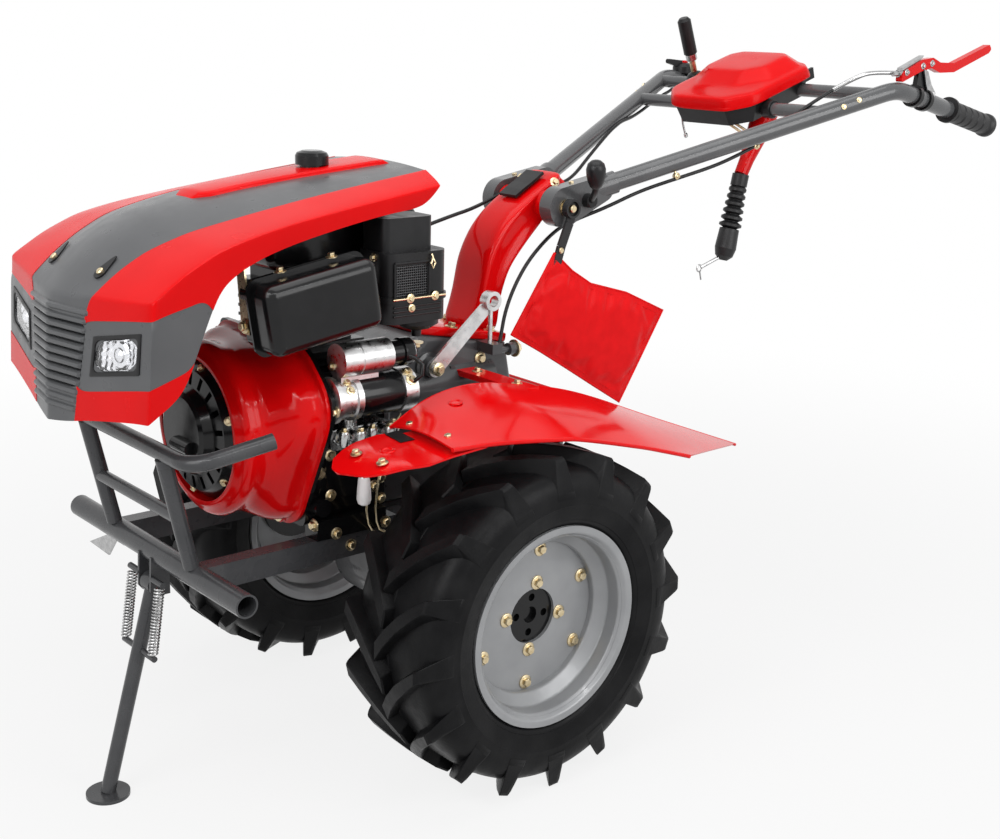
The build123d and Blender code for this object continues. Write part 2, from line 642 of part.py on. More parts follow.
def column_cover():
    """Dark plate that closes the opening in the crown of the column."""
    plate = column_arch(5) - column_arch(0)
    window = Pos(-246, 0, 965) * Box(92, 66, 120)
    return plate & window


def bracket():
    """Cast bracket that turns on the pivot bolt and holds one handlebar tube."""
    inner = COLUMN_HALF_WIDTH + COLUMN_BOSS + BRACKET_GAP
    middle = inner + BRACKET_WIDTH / 2
    body = link_plate((PIVOT_X, PIVOT_Z), 36, (-388, 934), 24, BRACKET_WIDTH, middle)
    run = Vector(*ARM_BEND) - Vector(*ARM_START)
    socket_tube = rod(Vector(*ARM_START) - run.normalized() * 45, ARM_START, ARM_RADIUS + 4)
    bore = rod((PIVOT_X, 0, PIVOT_Z), (PIVOT_X, 200, PIVOT_Z), PIVOT_PIN_RADIUS + PIVOT_GAP)
    return body + socket_tube - bore


def clamp_knob():
    """Clamp lever with a black ball grip on the left bracket."""
    face = COLUMN_HALF_WIDTH + COLUMN_BOSS + BRACKET_GAP + BRACKET_WIDTH
    base = rod((-345, face, 915), (-345, face + 16, 915), 13)
    stem = rod((-345, face + 8, 915), (-304, face + 66, 948), 6)
    grip = spindle((-312, face + 56, 942), (-286, face + 90, 972), [(0, 11), (10, 16), (26, 19), (40, 17), (46, 8)])
    return base + stem + grip


def arm_point(x):
    """Point on the centre line of the left handlebar tube at x."""
    share = (x - ARM_START[0]) / (ARM_BEND[0] - ARM_START[0])
    return [a + share * (b - a) for a, b in zip(ARM_START, ARM_BEND)]


CROSS_FRONT_X = -815
CROSS_REAR_X = -925


def handlebar():
    """Two bent tubes with two cross tubes between them."""
    bars = both_sides(bent_bar([ARM_START, ARM_BEND, GRIP_START], ARM_RADIUS, 90))
    for x in (CROSS_FRONT_X, CROSS_REAR_X):
        _, y, z = arm_point(x)
        bars += rod((x, -y, z), (x, y, z), CROSS_RADIUS)
    return bars


def grip():
    """Ribbed rubber grip on the end of the tube, with a flange and a bulged end."""
    run = Vector(*GRIP_START) - Vector(*ARM_BEND)
    profile = [(0, GRIP_RADIUS + 6), (7, GRIP_RADIUS + 6), (7, GRIP_RADIUS)]
    ribs = 5
    pitch = (GRIP_LENGTH - 40) / ribs
    for i in range(ribs):
        at = 16 + pitch * i
        profile += [(at, GRIP_RADIUS), (at + 3, GRIP_RADIUS + 1.5), (at + pitch - 6, GRIP_RADIUS + 1.5), (at + pitch - 3, GRIP_RADIUS)]
    profile += [(GRIP_LENGTH - 18, GRIP_RADIUS), (GRIP_LENGTH - 12, GRIP_RADIUS + 4), (GRIP_LENGTH - 4, GRIP_RADIUS + 4), (GRIP_LENGTH, GRIP_RADIUS)]
    return spindle(GRIP_START, Vector(*GRIP_START) + run, profile)


def lever_clamp():
    """Clutch lever bracket: two rings round the left tube and a plate up to the pivot."""
    run = (Vector(*GRIP_START) - Vector(*ARM_BEND)).normalized()
    rings = None
    for at in (55, 92):
        start = Vector(*ARM_BEND) + run * at
        ring = rod(start, start + run * 10, ARM_RADIUS + 5)
        rings = ring if rings is None else rings + ring
    plate = across(side_face([(-1020, 1120), (-1062, 1106), (-1066, 1130), (-1046, 1158), (-1026, 1156)]), 10, ARM_BEND[1] - 2)
    return rings + plate - handlebar()


def clutch_lever():
    """Red hand lever over the left grip, pivoted on its bracket."""
    outline = [
        (-965, 1128), (-968, 1148), (-1030, 1172), (-1066, 1176), (-1092, 1167), (-1140, 1166), (-1262, 1203),
        (-1270, 1194), (-1262, 1186), (-1142, 1148), (-1094, 1147), (-1062, 1156), (-1030, 1150),
    ]
    blade = Plane.XZ * fillet(make_face(Polyline(*outline, close=True)).vertices(), 4)
    return across(blade, 14, ARM_BEND[1] - 2) - lever_clamp()


def throttle_lever():
    """Throttle on the right tube: ring, round housing and thumb lever."""
    run = (Vector(*GRIP_START) - Vector(*ARM_BEND)).normalized()
    start = Vector(*ARM_BEND) + run * 45
    ring = rod(start, start + run * 16, ARM_RADIUS + 5)
    top = start + run * 8 + Vector(0, 0, ARM_RADIUS)
    housing = spindle(top, top + Vector(0, 0, 30), [(0, 24), (14, 24), (20, 18), (24, 8)])
    lever = link_plate((top.X, top.Z + 18), 9, (top.X + 50, top.Z + 26), 5, 8, top.Y)
    piece = ring + housing + lever
    return mirror(piece, about=Plane.XZ) - handlebar()


def console_place():
    """Where the console's floor lies: across both cross tubes, sloped like the arms."""
    front = arm_point(CROSS_FRONT_X)
    return Pos(-852, 0, front[2] + 12) * Rot(0, CONSOLE_SLOPE, 0)


def octagon(half_length, half_width, front_cut, rear_cut):
    """Plan outline with cut corners, longer cuts at the front."""
    half = [
        (half_length, half_width - front_cut), (half_length - front_cut, half_width),
        (-half_length + rear_cut, half_width), (-half_length, half_width - rear_cut),
    ]
    return make_face(Polyline(*half, *[(x, -y) for x, y in reversed(half)], close=True))


def console():
    """Black tray of the control console, saddled on the two cross tubes."""
    floor = octagon(104, 96, 34, 20)
    brim = octagon(114, 108, 44, 24)
    tray = loft([Pos(0, 0, -16) * floor, Pos(0, 0, 18) * brim], ruled=True)
    channel = Pos(-112, 62, 14) * Box(60, 46, 22) - Pos(-112, 62, 20) * Box(80, 34, 22)
    return console_place() * (tray + channel) - handlebar() - console_lid()


def console_lid():
    """Red lid of the console: low front, raised plateau at the back, hollow inside."""
    def shell(inset):
        skirt = loft([
            octagon(120 - inset, 116 - inset, 46, 26), Pos(0, 0, 26 - inset) * octagon(117 - inset, 112 - inset, 46, 26),
        ], ruled=True)
        plateau = loft([
            Pos(-28, 0, 24 - inset) * octagon(88 - inset, 104 - inset, 60, 30),
            Pos(-36, 0, 52 - inset) * octagon(60 - inset, 70 - inset, 24, 18),
        ], ruled=True)
        return skirt + plateau
    return console_place() * (Pos(0, 0, 18) * (shell(0) - Pos(0, 0, -1) * shell(4)))


def gear_lever():
    """Gear lever on its bracket at the right of the console: boot, rod, collar and grip."""
    bracket_bar = Pos(-878, -126, 1104) * Box(46, 62, 14)
    lever = spindle((-880, -140, 1104), (-826, -140, 1240), [
        (0, 22), (14, 22), (26, 14), (30, 6), (56, 6), (56, 11), (70, 11), (70, 14), (140, 14), (146, 9),
    ])
    return bracket_bar + lever - console() - console_lid() - handlebar()


def shift_arm():
    """Red tapered arm under the console."""
    top = (-884, 50, 1062)
    arm = spindle(top, (-818, 50, 936), [(0, 26), (40, 24), (110, 15), (142, 14)])
    return arm - console() - handlebar()


def shift_link():
    """Rubber boot on the arm with its rounded end cap and a cross pin."""
    profile = [(0, 17), (24, 17)]
    rings = 6
    for i in range(rings):
        at = 24 + 14.5 * i
        profile += [(at, 14), (at + 5, 18 + i), (at + 10, 18 + i), (at + 14, 14)]
    profile += [(112, 20), (152, 22), (168, 18), (177, 8)]
    boot = spindle((-818, 50, 936), (-780, 50, 762), profile)
    pin = rod((-784, 50, 775), (-735, 32, 750), 3)
    return boot + pin - shift_arm()


# Fenders

def fender():
    """Pressed fender over the left wheel: rear panel, lower front lobe and the arm from the gear case."""
    inner_y = TRACK / 2 - 92
    outer_y = TRACK / 2 + 88
    inner = [(196, 612), (124, 646), (42, 657), (-49, 645), (-195, 610), (-411, 527), (-634, 442)]
    outer = [(215, 621), (120, 618), (5, 604), (-54, 594), (-200, 552), (-330, 510), (-575, 440)]

    def edge(y, line):
        """Thin side face under a smooth edge line."""
        top = Spline(*line)
        under = Spline(*[(x, z - FENDER_WALL) for x, z in line])
        outline = top + under + Line(top @ 0, under @ 0) + Line(top @ 1, under @ 1)
        return Pos(0, y, 0) * (Plane.XZ * make_face(outline))

    panel = loft([edge(inner_y, inner), edge(outer_y, outer)], ruled=True)
    lobe_line = Spline((345, 578), (280, 604), (215, 612), (150, 616))
    lobe_under = Spline((345, 578 - FENDER_WALL), (280, 604 - FENDER_WALL), (215, 612 - FENDER_WALL), (150, 616 - FENDER_WALL))
    lobe_side = lobe_line + lobe_under + Line(lobe_line @ 0, lobe_under @ 0) + Line(lobe_line @ 1, lobe_under @ 1)
    lobe_plan = make_face(Polyline(
        (150, inner_y + 44), (205, inner_y + 44), (228, inner_y + 18), (312, inner_y + 22), (340, inner_y + 58),
        (318, outer_y - 50), (262, outer_y), (150, outer_y), close=True,
    ))
    lobe = across(Plane.XZ * make_face(lobe_side), 400, TRACK / 2)
    lobe &= extrude(Pos(0, 0, 500) * fillet(lobe_plan.vertices(), 8), amount=200)
    arm_root = CASE_HALF_WIDTH
    arm = Pos(-75, (arm_root + inner_y + 20) / 2, 633.5) * Box(40, inner_y + 20 - arm_root, 10)
    return Pos(0, 0, FENDER_LIFT) * (panel + lobe + arm) - gearbox()


# Stand, bag and cable

def stand():
    """Swinging prop with a round foot."""
    eye = rod((STAND_X, -14, STAND_Z), (STAND_X, 14, STAND_Z), 17)
    foot_x = STAND_X + STAND_LEAN
    leg = rod((STAND_X, 0, STAND_Z), (foot_x, 0, GROUND_Z + FOOT_THICKNESS), STAND_LEG_RADIUS)
    foot = Pos(foot_x, 0, GROUND_Z + FOOT_THICKNESS / 2) * Cylinder(FOOT_RADIUS, FOOT_THICKNESS)
    share = 0.31
    pin_x = STAND_X + share * STAND_LEAN
    pin_z = STAND_Z - share * (STAND_Z - GROUND_Z)
    spring_pin = rod((pin_x, -52, pin_z), (pin_x, 52, pin_z), 5)
    bore = rod((STAND_X, -22, STAND_Z), (STAND_X, 22, STAND_Z), STAND_PIN_RADIUS + PIVOT_GAP)
    return eye + leg + foot + spring_pin - bore


def stand_spring():
    """Coil spring beside the leg, as its outer cylinder."""
    share = 0.31
    lower = (STAND_X + share * STAND_LEAN, 46, STAND_Z - share * (STAND_Z - GROUND_Z) + 5.5)
    upper = (STAND_X + 13, 46, STAND_Z + 9.5)
    return rod(upper, lower, 9)


def tool_bag():
    """Flat vinyl pouch that hangs from the pivot bolt by a strap."""
    y = COLUMN_HALF_WIDTH + COLUMN_BOSS + 44
    outline = [(-257, 828), (-347, 762), (-546, 694), (-438, 527), (-161, 691)]
    pouch = across(side_face(outline), 22, y)
    strap = link_plate((PIVOT_X, PIVOT_Z), 12, (-266, 818), 12, 12, y)
    bore = rod((PIVOT_X, y - 20, PIVOT_Z), (PIVOT_X, y + 20, PIVOT_Z), PIVOT_PIN_RADIUS + PIVOT_GAP)
    return pouch + strap - bore


shell, centre_panel, lamp_panels = hood_pieces()
NODES = {
    "axle_housing": axle_housing(),
    "gearbox": gearbox(),
    "clutch_bell": clutch_bell(),
    "selector_lever": selector_lever(),
    "hitch": hitch(),
    "engine_frame": engine_frame(),
    "guard": guard(),
    "crankcase": crankcase(),
    "cylinder": cylinder(),
    "blower_shroud": blower_shroud(),
    "recoil_starter": recoil_starter(),
    "muffler": muffler(),
    "air_cleaner": air_cleaner(),
    "starter_motor": starter_motor(),
    "injection_pump": injection_pump(),
    "fuel_tank": fuel_tank(),
    "hood_shell": shell,
    "hood_centre": centre_panel,
    "lamp_panels": lamp_panels,
    "headlamps": headlamps(),
    "column": column(),
    "column_cover": column_cover(),
    "handlebar_brackets": both_sides(bracket()),
    "clamp_knob": clamp_knob(),
    "handlebar": handlebar(),
    "grips": both_sides(grip()),
    "lever_clamp": lever_clamp(),
    "clutch_lever": clutch_lever(),
    "throttle_lever": throttle_lever(),
    "console": console(),
    "console_lid": console_lid(),
    "gear_lever": gear_lever(),
    "shift_arm": shift_arm(),
    "shift_link": shift_link(),
    "fenders": both_sides(fender()),
    "stand": stand(),
    "stand_springs": both_sides(stand_spring()),
    "tool_bag": tool_bag(),
}
for side, name in ((1, "left"), (-1, "right")):
    NODES["tyre_" + name] = at_wheel(tyre(), side)
    NODES["rim_" + name] = at_wheel(rim(), side)
    NODES["hub_" + name] = at_wheel(hub(), side)

os.makedirs("parts", exist_ok=True)
for name, piece in NODES.items():
    export_step(Pos(ORIGIN_SHIFT, 0, -GROUND_Z) * piece, "parts/" + name + ".step")
    print(name, round(piece.volume), len(piece.solids()))
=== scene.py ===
"""Walking tractor with an air-cooled diesel engine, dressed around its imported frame.

Sizes and places are in millimetres. Finishes, bevels, lamps and the camera are in metres.
"""

from math import cos, pi, radians, sin

import bmesh
import bpy
from mathutils import Matrix, Vector
from mathutils.bvhtree import BVHTree


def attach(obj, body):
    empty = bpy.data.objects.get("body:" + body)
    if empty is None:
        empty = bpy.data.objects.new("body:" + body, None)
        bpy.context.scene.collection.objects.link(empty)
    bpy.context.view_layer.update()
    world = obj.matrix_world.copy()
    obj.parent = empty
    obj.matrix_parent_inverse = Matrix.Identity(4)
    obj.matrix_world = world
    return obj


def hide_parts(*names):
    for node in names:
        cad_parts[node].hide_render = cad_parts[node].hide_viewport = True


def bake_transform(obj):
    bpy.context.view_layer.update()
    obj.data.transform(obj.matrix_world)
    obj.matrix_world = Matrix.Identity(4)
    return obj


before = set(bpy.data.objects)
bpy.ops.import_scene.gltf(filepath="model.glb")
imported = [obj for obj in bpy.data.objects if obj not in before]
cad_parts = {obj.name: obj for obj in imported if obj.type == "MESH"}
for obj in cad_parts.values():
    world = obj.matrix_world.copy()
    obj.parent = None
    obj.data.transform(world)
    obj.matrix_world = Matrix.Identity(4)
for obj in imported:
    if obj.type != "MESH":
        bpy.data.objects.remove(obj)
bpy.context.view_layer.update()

# Tyres
# Lug tyres for soft ground, moulded in black rubber and seated on 12 inch rims.
# Each has two rows of 16 bars that start past the middle and end in a hoof over the shoulder.

AXLE_X = 325
AXLE_HEIGHT = 287.5
HALF_TRACK = 330
TYRE_RADIUS = 287.5
TYRE_HALF_WIDTH = 106
CROWN = 266.5
LUGS_IN_ROW = 16
HOOF_SECTION = 7
SIDEWALL = [
    (84, 152.3), (88.5, 153), (88.9, 168), (89.4, 171.2), (91.5, 172), (94, 174), (96, 177), (97, 180),
    (98.4, 180.8), (99, 183), (101, 190), (103, 198), (104.4, 204.4), (104.9, 206.4), (105.4, 206.8),
    (105.6, 208.4), (105.4, 209.6), (105.6, 216), (105.4, 222), (104.6, 230), (102.4, 239), (98.4, 248),
    (92, 255.4), (83, 260.8), (72, 263.8), (50, 265.6), (25, 266.4), (3, 266.6), (2, 267.4), (0, 267.6),
]
SIDES = (("left", 1), ("right", -1))
FORWARD = Vector((1, 0, 0))
LEFTWARD = Vector((0, 1, 0))
UPWARD = Vector((0, 0, 1))


def at(x, y, z):
    """Point in metres from millimetres ahead of, beside and above the foot of the axle."""
    return Vector(((x + AXLE_X) / 1000, y / 1000, z / 1000))


def points(*places):
    """Points in metres from places in millimetres."""
    return [at(*place) for place in places]


def fill(node, values):
    """Set the inputs of a shader node by their names."""
    for name, value in values.items():
        node.inputs[name].default_value = value


def finish_of(name, tones, gloss, grain, metal=0.0, coat=0.0, shine=0.35):
    """Procedural finish: mottled tone, uneven gloss and fine grain.

    tones is the darker and the lighter colour and the size of the mottle in metres, gloss the lowest and
    highest roughness and their size, grain the height of the bumps and their size.
    """
    material = bpy.data.materials.new(name)
    material.use_nodes = True
    nodes = material.node_tree.nodes
    link = material.node_tree.links.new
    shader = nodes["Principled BSDF"]
    fill(shader, {"Metallic": metal, "Specular IOR Level": shine})
    fill(shader, {"Coat Weight": coat, "Coat Roughness": 0.05})
    places = nodes.new("ShaderNodeTexCoord")

    def mottle(size, detail):
        speckle = nodes.new("ShaderNodeTexNoise")
        fill(speckle, {"Scale": 1 / size, "Detail": detail})
        link(places.outputs["Object"], speckle.inputs["Vector"])
        return speckle.outputs["Fac"]

    dark, light, tone_size = tones
    ramp = nodes.new("ShaderNodeValToRGB")
    for stop, position, tone in zip(ramp.color_ramp.elements, (0.35, 0.65), (dark, light)):
        stop.position = position
        stop.color = (*tone, 1)
    link(mottle(tone_size, 4), ramp.inputs["Fac"])
    link(ramp.outputs["Color"], shader.inputs["Base Color"])
    low, high, gloss_size = gloss
    spread = nodes.new("ShaderNodeMapRange")
    fill(spread, {"From Min": 0.3, "From Max": 0.7, "To Min": low, "To Max": high})
    link(mottle(gloss_size, 3), spread.inputs["Value"])
    link(spread.outputs["Result"], shader.inputs["Roughness"])
    height, grain_size = grain
    bump = nodes.new("ShaderNodeBump")
    fill(bump, {"Strength": 0.6, "Distance": height})
    link(mottle(grain_size, 2), bump.inputs["Height"])
    link(bump.outputs["Normal"], shader.inputs["Normal"])
    return material


def skin(shape, rings, around=True, caps=True):
    """Faces from ring to ring, and over the first and the last one."""
    for near, far in zip(rings, rings[1:]):
        for i in range(len(near) if around else len(near) - 1):
            j = (i + 1) % len(near)
            shape.faces.new((near[i], near[j], far[j], far[i]))
    if caps:
        shape.faces.new(rings[0][::-1])
        shape.faces.new(rings[-1])


def turn(shape, profile, origin, way, steps, closed=False):
    """Turn a profile of (distance, radius) in millimetres about the line from origin along way."""
    axis = way.normalized()
    side = axis.orthogonal().normalized()
    other = axis.cross(side)
    rings = []
    for distance, radius in profile:
        ring = []
        for i in range(steps):
            turned = side * cos(2 * pi * i / steps) + other * sin(2 * pi * i / steps)
            ring.append(shape.verts.new(origin + (axis * distance + turned * radius) / 1000))
        rings.append(ring)
    skin(shape, rings + rings[:1] if closed else rings, caps=not closed)


def mesh_of(name, shape):
    """Mesh of a finished shape."""
    mesh = bpy.data.meshes.new(name)
    shape.to_mesh(mesh)
    shape.free()
    return mesh


def show(name, data):
    """Object of a mesh, curve, lamp or camera, placed in the scene."""
    shown = bpy.data.objects.new(name, data)
    bpy.context.collection.objects.link(shown)
    return shown


def piece_of(name, shape, material, body, sharp=32):
    """Finished piece from a shape: smooth but for its sharp edges, riding on its body."""
    bmesh.ops.recalc_face_normals(shape, faces=shape.faces)
    mesh = mesh_of(name, shape)
    mesh.polygons.foreach_set("use_smooth", [True] * len(mesh.polygons))
    mesh.set_sharp_from_angle(angle=radians(sharp))
    mesh.materials.append(material)
    piece = show(name, mesh)
    if body:
        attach(piece, body)
    return piece


def on_wheel(radius, degrees, width, side):
    """Point of the left or right wheel, from its radius, angle and distance outwards."""
    angle = radians(degrees)
    return at(radius * cos(angle), side * (HALF_TRACK + width), AXLE_HEIGHT + radius * sin(angle))


def add_lug(shape, degrees, row, side):
    """One bar: chamfered along its crest, with a three-cornered dent in its hoof."""
    half = TYRE_HALF_WIDTH
    sections = []
    for width, root, top, swing, foot, crest in (
        (-8, CROWN - 6, TYRE_RADIUS - 3, 0, 4.4, 2.6),
        (-6, CROWN - 6, TYRE_RADIUS, 0.4, 4.4, 2.9),
        (14, CROWN - 7, TYRE_RADIUS, 5.8, 4.3, 2.8),
        (40, CROWN - 8, TYRE_RADIUS - 0.4, 11.8, 4.2, 2.6),
        (66, CROWN - 14, TYRE_RADIUS - 0.8, 16.6, 4.2, 2.3),
        (half - 15, CROWN - 24, TYRE_RADIUS - 1.2, 20.6, 4.3, 1.9),
        (half - 12, CROWN - 27, TYRE_RADIUS - 3.5, 21, 4.4, 1.8),
        (half - 10, CROWN - 29, TYRE_RADIUS - 8, 21.2, 4.5, 2.0),
        (half - 0.8, CROWN - 46, CROWN - 36, 22.4, 4.9, 4.2),
        (half, CROWN - 47, CROWN - 41, 22.5, 4.7, 4.1),
    ):
        ring = []
        for radius, turned in (
            (root, -foot), (top - 3, -crest - 0.4), (top, -crest),
            (top, crest), (top - 3, crest + 0.4), (root, foot),
        ):
            ring.append(shape.verts.new(on_wheel(radius, degrees + swing + turned, row * width, side)))
        sections.append(ring)
    skin(shape, sections)
    crest_edge = sections[HOOF_SECTION][2:4]
    foot_edge = sections[HOOF_SECTION + 1][2:4]
    hoof = next(face for face in foot_edge[0].link_faces if set(crest_edge + foot_edge) == set(face.verts))
    crest_middle = (crest_edge[0].co + crest_edge[1].co) / 2
    bmesh.ops.inset_individual(shape, faces=[hoof], thickness=0.0042, depth=-0.0045)
    near_crest = sorted(hoof.verts, key=lambda v: (v.co - crest_middle).length)[:2]
    tip = (near_crest[0].co + near_crest[1].co) / 2
    for v in near_crest:
        v.co = tip + (v.co - tip) * 0.25


rubber = finish_of(
    "tyre_rubber", ((0.004, 0.004, 0.0045), (0.009, 0.009, 0.0095), 0.05), (0.32, 0.48, 0.02),
    (0.0004, 0.004), shine=0.1,
)
for wheel, side in SIDES:
    shape = bmesh.new()
    outline = SIDEWALL[:-1] + [(-width, radius) for width, radius in reversed(SIDEWALL)]
    turn(shape, outline, at(0, side * HALF_TRACK, AXLE_HEIGHT), LEFTWARD, 144, closed=True)
    pitch = 360 / LUGS_IN_ROW
    for i in range(LUGS_IN_ROW):
        add_lug(shape, pitch * i, 1, side)
        add_lug(shape, pitch * (i + 0.5), -1, side)
    tyre = piece_of("lug_tyre_" + wheel, shape, rubber, "wheel_" + wheel, sharp=28)
    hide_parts("tyre_" + wheel)

# Rims and hubs
# Pressed steel rims, painted grey, with a flat disc bolted through a black cast hub on the axle.
# Ten yellow-zinc flange bolts hold each disc.

DISC_FACE = 35
WHEEL_BOLT = 13


def dress(material, *names):
    """Give CAD nodes their finish."""
    for name in names:
        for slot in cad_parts[name].material_slots:
            slot.material = material


def add_bolt(shape, seat, way, flats):
    """Hexagon flange bolt of the given width across flats, in millimetres."""
    flange = ((0, 0.92), (0.14, 0.92), (0.24, 0.7))
    head = ((0.1, 0.577), (0.6, 0.577), (0.7, 0.5))
    for profile, steps in ((flange, 20), (head, 6)):
        turn(shape, [(distance * flats, radius * flats) for distance, radius in profile], seat, way, steps)


def add_bolts(shape, way, *seats):
    """Bolts of one direction from their x, y, z and width across flats."""
    for x, y, z, flats in seats:
        add_bolt(shape, at(x, y, z), way, flats)


rim_paint = finish_of(
    "rim_paint", ((0.256, 0.261, 0.269), (0.304, 0.309, 0.317), 0.08), (0.3, 0.42, 0.03),
    (0.00006, 0.003), 0.2, 0.3,
)
black_paint = finish_of(
    "black_paint", ((0.003, 0.003, 0.0035), (0.006, 0.006, 0.0065), 0.06), (0.14, 0.24, 0.02),
    (0.00005, 0.002), coat=0.1, shine=0.24,
)
yellow_zinc = finish_of(
    "yellow_zinc", ((0.56, 0.45, 0.27), (0.7, 0.59, 0.39), 0.006), (0.24, 0.4, 0.004), (0.00004, 0.0015), 1,
)
dress(rim_paint, "rim_left", "rim_right")
dress(black_paint, "hub_left", "hub_right")
for wheel, side in SIDES:
    shape = bmesh.new()
    for count, radius, first in ((6, 114.5, 36), (4, 57.5, 97)):
        for i in range(count):
            seat = on_wheel(radius, first + 360 / count * i, DISC_FACE, side)
            add_bolt(shape, seat, LEFTWARD * side, WHEEL_BOLT)
    piece_of("wheel_bolts_" + wheel, shape, yellow_zinc, "wheel_" + wheel)

# Gear case and axle
# Grey painted iron castings: final drive, gear case above it and the bell of the clutch.
# The hitch is welded steel in the darker grey of the frame.

COVER_BOLT_RADIUS = 80
COVER_FACE = 75
SEAT_SLOPE = 0.186

case_paint = finish_of(
    "case_paint", ((0.045, 0.046, 0.049), (0.066, 0.067, 0.07), 0.07), (0.26, 0.42, 0.02), (0.0004, 0.004),
    coat=0.3,
)
frame_paint = finish_of(
    "frame_paint", ((0.04, 0.041, 0.044), (0.055, 0.056, 0.059), 0.08), (0.22, 0.34, 0.03), (0.00006, 0.003),
    coat=0.15, shine=0.3,
)
bright_plate = finish_of(
    "bright_plate", ((0.36, 0.36, 0.36), (0.5, 0.5, 0.5), 0.01), (0.16, 0.3, 0.006), (0.00003, 0.002), 1,
)
dress(case_paint, "axle_housing", "gearbox", "clutch_bell")
dress(frame_paint, "hitch")
shape = bmesh.new()
for side in (1, -1):
    for i in range(8):
        angle = radians(22.5 + 45 * i)
        x, z = COVER_BOLT_RADIUS * cos(angle), AXLE_HEIGHT + COVER_BOLT_RADIUS * sin(angle)
        add_bolt(shape, at(x, side * COVER_FACE, z), LEFTWARD * side, 10)
    for x in (8, -62, -150):
        add_bolt(shape, at(x, side * 62, 724 + SEAT_SLOPE * (x - 24)), Vector((-0.183, 0, 0.983)), 13)
add_bolts(shape, LEFTWARD, (5, 113.5, 652, 13), (-113, 80, 650, 13))
add_bolts(shape, -FORWARD, (-162, 114, 668, 17))
piece_of("case_bolts", shape, yellow_zinc, "chassis")

# Engine frame and guard
# Square rails welded to an open bumper tube, with the bent tube guard above it, painted dark grey.
# A bent steel step hangs under the right half of the bumper.

STEP = ((-164, 380), (-149, 378), (-192, 329), (-266, 332))


def add_plate(shape, corners, thickness):
    """Flat plate from its corners on one face, as thick as the given vector in millimetres."""
    front = [shape.verts.new(corner) for corner in corners]
    rear = [shape.verts.new(corner + thickness / 1000) for corner in corners]
    shape.faces.new(front)
    shape.faces.new(rear[::-1])
    for i in range(len(corners)):
        j = (i + 1) % len(corners)
        shape.faces.new((front[i], rear[i], rear[j], front[j]))


dress(frame_paint, "engine_frame", "guard")
shape = bmesh.new()
add_plate(shape, [at(470, y, z) for y, z in STEP], FORWARD * 3)
piece_of("bumper_step", shape, bright_plate, "chassis")

# Stand and its springs
# Folding prop of round bar with a disc foot; two bright coil springs hold it against its stops.

SPRING_SIDE = 46
SPRING_TOP = (500, 354.5)
SPRING_FOOT = (516.5, 243.6)
SPRING_RADIUS = 7.2
SPRING_WIRE = 1.6
SPRING_TURNS = 22
STEPS_IN_TURN = 14


def add_tube(shape, line, radius, steps):
    """Round tube of a radius in millimetres, swept along a line of points and closed at both ends."""
    rings = []
    side = None
    for i, point in enumerate(line):
        way = (line[min(i + 1, len(line) - 1)] - line[max(i - 1, 0)]).normalized()
        side = way.orthogonal() if side is None else side - way * side.dot(way)
        side.normalize()
        other = way.cross(side)
        ring = []
        for k in range(steps):
            turned = side * cos(2 * pi * k / steps) + other * sin(2 * pi * k / steps)
            ring.append(shape.verts.new(point + turned * radius / 1000))
        rings.append(ring)
    skin(shape, rings)


dress(frame_paint, "stand")
for name, side in SIDES:
    shape = bmesh.new()
    top, foot = [at(x, side * SPRING_SIDE, z) for x, z in (SPRING_TOP, SPRING_FOOT)]
    axis = (foot - top).normalized()
    across = axis.orthogonal().normalized()
    other = axis.cross(across)
    steps = SPRING_TURNS * STEPS_IN_TURN
    wire = []
    for i in range(steps + 1):
        angle = 2 * pi * SPRING_TURNS * i / steps
        turned = across * cos(angle) + other * sin(angle)
        wire.append(top + (foot - top) * (i / steps) + turned * SPRING_RADIUS / 1000)
    add_tube(shape, wire, SPRING_WIRE, 6)
    spring = piece_of("stand_spring_" + name, shape, bright_plate, None, sharp=60)
    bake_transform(spring)
    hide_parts("stand_springs")

# Engine block and shroud
# Air-cooled diesel: black block on the rails, red pressed cowl over the flywheel, recoil starter in it.
# Yellow-zinc bolts hold the cowl, the side cover and the feet.

CRANK_HEIGHT = 585
COWL_OUTLINE = [
    (-125, 148), (128, 148), (206, 74), (208, 48), (188, 2), (112, -153), (50, -160), (-70, -160),
    (-150, -100), (-165, 30),
]
COWL_SECTIONS = (
    (283, 0, 0), (289, 0, 0), (290, -5, 0), (292, -9, 0), (304, -9, 0.02), (318, -10, 0.08), (331, -12, 0.24),
    (343, -14, 0.5), (353, -14, 0.76), (363, -12, 0.93), (374, -8, 1), (384, -6, 1), (391, -9, 1),
    (396, -14, 1), (398, -21, 1), (403, -24, 1), (404, -28, 1), (403, -33, 1), (390, -33, 1), (316, -33, 1),
)
DRUM_RADIUS = 149
COWL_STEPS = 120

red_paint = finish_of(
    "red_paint", ((0.64, 0.002, 0.003), (0.7, 0.003, 0.004), 0.12), (0.1, 0.18, 0.04), (0.00004, 0.004),
    coat=0.08, shine=0.12,
)
dress(black_paint, "crankcase", "cylinder", "recoil_starter", "fuel_tank")


def cowl_reach(degrees):
    """Distance from the crank to the cowl's outline in a direction."""
    way = Vector((cos(radians(degrees)), sin(radians(degrees))))
    reach = 0
    for start, end in zip(COWL_OUTLINE, COWL_OUTLINE[1:] + COWL_OUTLINE[:1]):
        side = Vector(end) - Vector(start)
        spread = way.x * side.y - way.y * side.x
        if abs(spread) < 0.0001:
            continue
        share = (start[0] * way.y - start[1] * way.x) / spread
        away = (start[0] * side.y - start[1] * side.x) / spread
        if -0.000001 <= share <= 1.000001 and away > reach:
            reach = away
    return reach


def cowl_round(degrees):
    """Outline with its corners rounded, as it is pressed."""
    return sum(cowl_reach(degrees + turned) for turned in range(-9, 10, 3)) / 7


